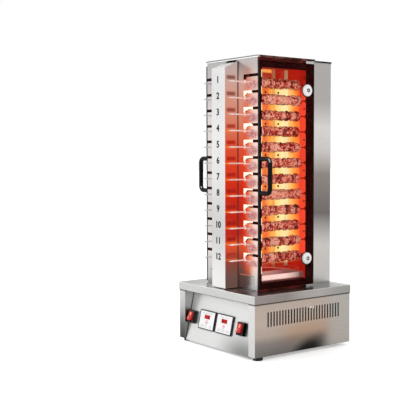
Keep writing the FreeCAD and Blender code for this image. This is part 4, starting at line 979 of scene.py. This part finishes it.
def make_rocker_cap(side, place):
    """A red rocker with two neon windows, tilted in its housing."""
    outline = [(-12.3, -17.3), (-11.2, -9.0), (-10.4, 0.0), (-11.2, 9.0), (-12.3, 17.3), (0.0, 17.3),
               (4.8, 7.0), (4.8, -7.0), (0.0, -17.3)]
    turned = place @ Matrix.Translation((0.0, -8.0, 0.0)) @ Matrix.Rotation(math.radians(-12.0), 4, "X")
    bm = bmesh.new()
    ends = [[bm.verts.new(turned @ Vector((x, u, v))) for u, v in outline] for x in (-13.3, 13.3)]
    count = len(outline)
    for k in range(count):
        bm.faces.new((ends[0][k], ends[0][(k + 1) % count], ends[1][(k + 1) % count], ends[1][k]))
    bm.faces.new(list(reversed(ends[0])))
    bm.faces.new(ends[1])
    bmesh.ops.scale(bm, vec=(MM, MM, MM), verts=bm.verts)
    edges = [e for e in bm.edges if e.calc_face_angle(0.0) > 0.6]
    bmesh.ops.bevel(bm, geom=edges, offset=2.2 * MM, segments=3, affect="EDGES")
    slab(bm, (-2.4, -12.1, 2.0), (5.2, -10.9, 13.0), turned, 0.5, 1)
    slab(bm, (-7.5, -12.1, -13.0), (-4.0, -10.9, -3.0), turned, 0.5, 1)
    bmesh.ops.recalc_face_normals(bm, faces=bm.faces)
    make(f"rocker_cap_{side}", bm, [rocker_red, neon_orange], f"rocker_{side}",
         (f"rocker_{side}",))


def make_controller_faces():
    """Each controller's overlay, display, three keys, round mark and printed line."""
    symbol_red = plastic("symbol_red", (0.70, 0.03, 0.03), 0.35, 1500.0, 0.00001)
    print_grey = plastic("print_grey", (0.22, 0.22, 0.23), 0.5, 1500.0, 0.00001)
    ring = [(0.0, 7.4), (0.35, 7.2), (0.4, 6.0), (0.15, 5.9), (0.15, 0.0)]
    dot = [(0.15, 2.6), (0.55, 2.5), (0.6, 0.0)]
    bm = bmesh.new()
    for sign in (-1, 1):
        place = panel_matrix(box("temperature_controllers")[CENTRE][X] + CONTROLLER_X * sign)
        slab(bm, (-45.2, -5.3, -32.6), (45.2, -4.5, 32.6), place, 0.3, 0, 1)
        slab(bm, (-17.0, -5.7, 4.0), (17.0, -5.1, 19.0), place, 0.2, 1, 1)
        for x in (-26.0, 0.0, 26.0):
            slab(bm, (x - 7.0, -5.6, -27.0), (x + 7.0, -5.15, -19.5), place, 0.2, 2, 1)
            slab(bm, (x - 6.2, -5.7, -26.2), (x + 6.2, -5.2, -20.3), place, 0.2, 0, 1)
        centre = place @ Vector((0.0, -5.3, -8.5))
        out = place.to_3x3() @ Vector((0.0, -1.0, 0.0))
        lathe(bm, ring, centre, out, 32, [3, 3, 3, 0])
        lathe(bm, dot, centre, out, 20, 3)
        slab(bm, (-30.0, -5.6, 24.0), (30.0, -5.2, 24.8), place, 0.0, 2)
    make("controller_faces", bm, [overlay_white, make_display_skin(), print_grey, symbol_red], "cabinet")


for side, _ in SIDES:
    switch_place = panel_matrix(box(f"rocker_{side}")[CENTRE][X])
    make_switch_shell(side, switch_place)
    make_rocker_cap(side, switch_place)
make_controller_faces()


# ---------------------------------------------------------------- numerals on the column
ink = plastic("numeral_ink", (0.006, 0.006, 0.006), 0.6, 1500.0, 0.00001, Specular_IOR_Level=0.1)
for level in NUMBERS:
    curve = bpy.data.curves.new(f"numeral_{level:02d}", "FONT")
    curve.body = str(level)
    curve.size = 0.033
    curve.align_x = "CENTER"
    curve.align_y = "CENTER"
    curve.bevel_depth = 0.0010
    curve.bevel_resolution = 0
    curve.space_character = 0.95
    curve.materials.append(ink.mat)
    place_piece(f"numeral_{level:02d}", curve, "cabinet", (),
                (NUMERAL_X, COLUMN_FACE - 0.06, LEVELS[level - 1] - NUMERAL_DROP),
                (math.radians(90.0), 0.0, 0.0), (1.05, 1.0, 1.0))


# ---------------------------------------------------------------- floor, light, camera
def make_floor():
    s = Surface("floor_paper", (0.90, 0.90, 0.90), 0.7)
    speck = s.noise(s.coords((3.0, 3.0, 3.0)), detail=3.0)
    s.put("Base Color", s.mix(speck, (0.89, 0.89, 0.89), (0.91, 0.91, 0.905)))
    seen = s.add("ShaderNodeLightPath").outputs["Is Camera Ray"]
    s.put("Emission Color", (1.0, 1.0, 1.0, 1.0))
    s.put("Emission Strength", s.times(seen, 0.42))
    bm = bmesh.new()
    corners = [bm.verts.new((x * 30.0, y * 30.0, 0.0)) for x, y in ((-1, -1), (1, -1), (1, 1), (-1, 1))]
    bm.faces.new(corners)
    mesh = bpy.data.meshes.new("floor")
    bm.to_mesh(mesh)
    bm.free()
    mesh.materials.append(s.mat)
    floor = bpy.data.objects.new("floor", mesh)
    bpy.context.scene.collection.objects.link(floor)


def make_world():
    """White for the camera; a studio that is bright in front and dimmer to the right for the rest."""
    world = bpy.data.worlds.new("studio")
    bpy.context.scene.world = world
    world.use_nodes = True
    tree = world.node_tree
    shade = tree.nodes["Background"]
    coords = tree.nodes.new("ShaderNodeTexCoord")
    split = tree.nodes.new("ShaderNodeSeparateXYZ")
    tree.links.new(coords.outputs["Generated"], split.inputs[0])
    side = tree.nodes.new("ShaderNodeMapRange")
    side.interpolation_type = "SMOOTHSTEP"
    for socket, value in (("From Min", -0.1), ("From Max", 0.95), ("To Min", 0.94), ("To Max", 0.58)):
        side.inputs[socket].default_value = value
    tree.links.new(split.outputs["X"], side.inputs["Value"])
    path = tree.nodes.new("ShaderNodeLightPath")
    blend = tree.nodes.new("ShaderNodeMix")
    blend.data_type = "FLOAT"
    blend.inputs[3].default_value = 1.0
    tree.links.new(path.outputs["Is Camera Ray"], blend.inputs[0])
    tree.links.new(side.outputs["Result"], blend.inputs[2])
    shade.inputs["Color"].default_value = (1.0, 1.0, 1.0, 1.0)
    tree.links.new(blend.outputs[0], shade.inputs["Strength"])


def add_area(name, place, target, size, power):
    light = bpy.data.lights.new(name, "AREA")
    light.energy = power
    light.size = size
    item = bpy.data.objects.new(name, light)
    bpy.context.scene.collection.objects.link(item)
    item.location = place
    item.rotation_euler = (Vector(target) - Vector(place)).to_track_quat("-Z", "Y").to_euler()


make_floor()
make_world()
add_area("key", (-1.6, -2.6, 2.6), (0.0, 0.0, 0.6), 2.2, 38.0)
add_area("fill", (2.8, -0.6, 1.9), (0.0, 0.0, 0.6), 1.6, 12.0)

# The camera was solved from the edges of the base and the tower in the photo
camera_data = bpy.data.cameras.new("camera")
camera_data.sensor_width = 36.0
camera_data.lens = 75.573
camera_data.shift_x = -0.1105
camera_data.shift_y = -0.001
camera = bpy.data.objects.new("camera", camera_data)
camera.location = (2.571, -2.0833, 0.7184)
camera.rotation_euler = (math.pi / 2 - 0.061, 0.0, 0.901)
bpy.context.scene.collection.objects.link(camera)
bpy.context.scene.camera = camera
bpy.context.scene.view_settings.view_transform = "Standard"
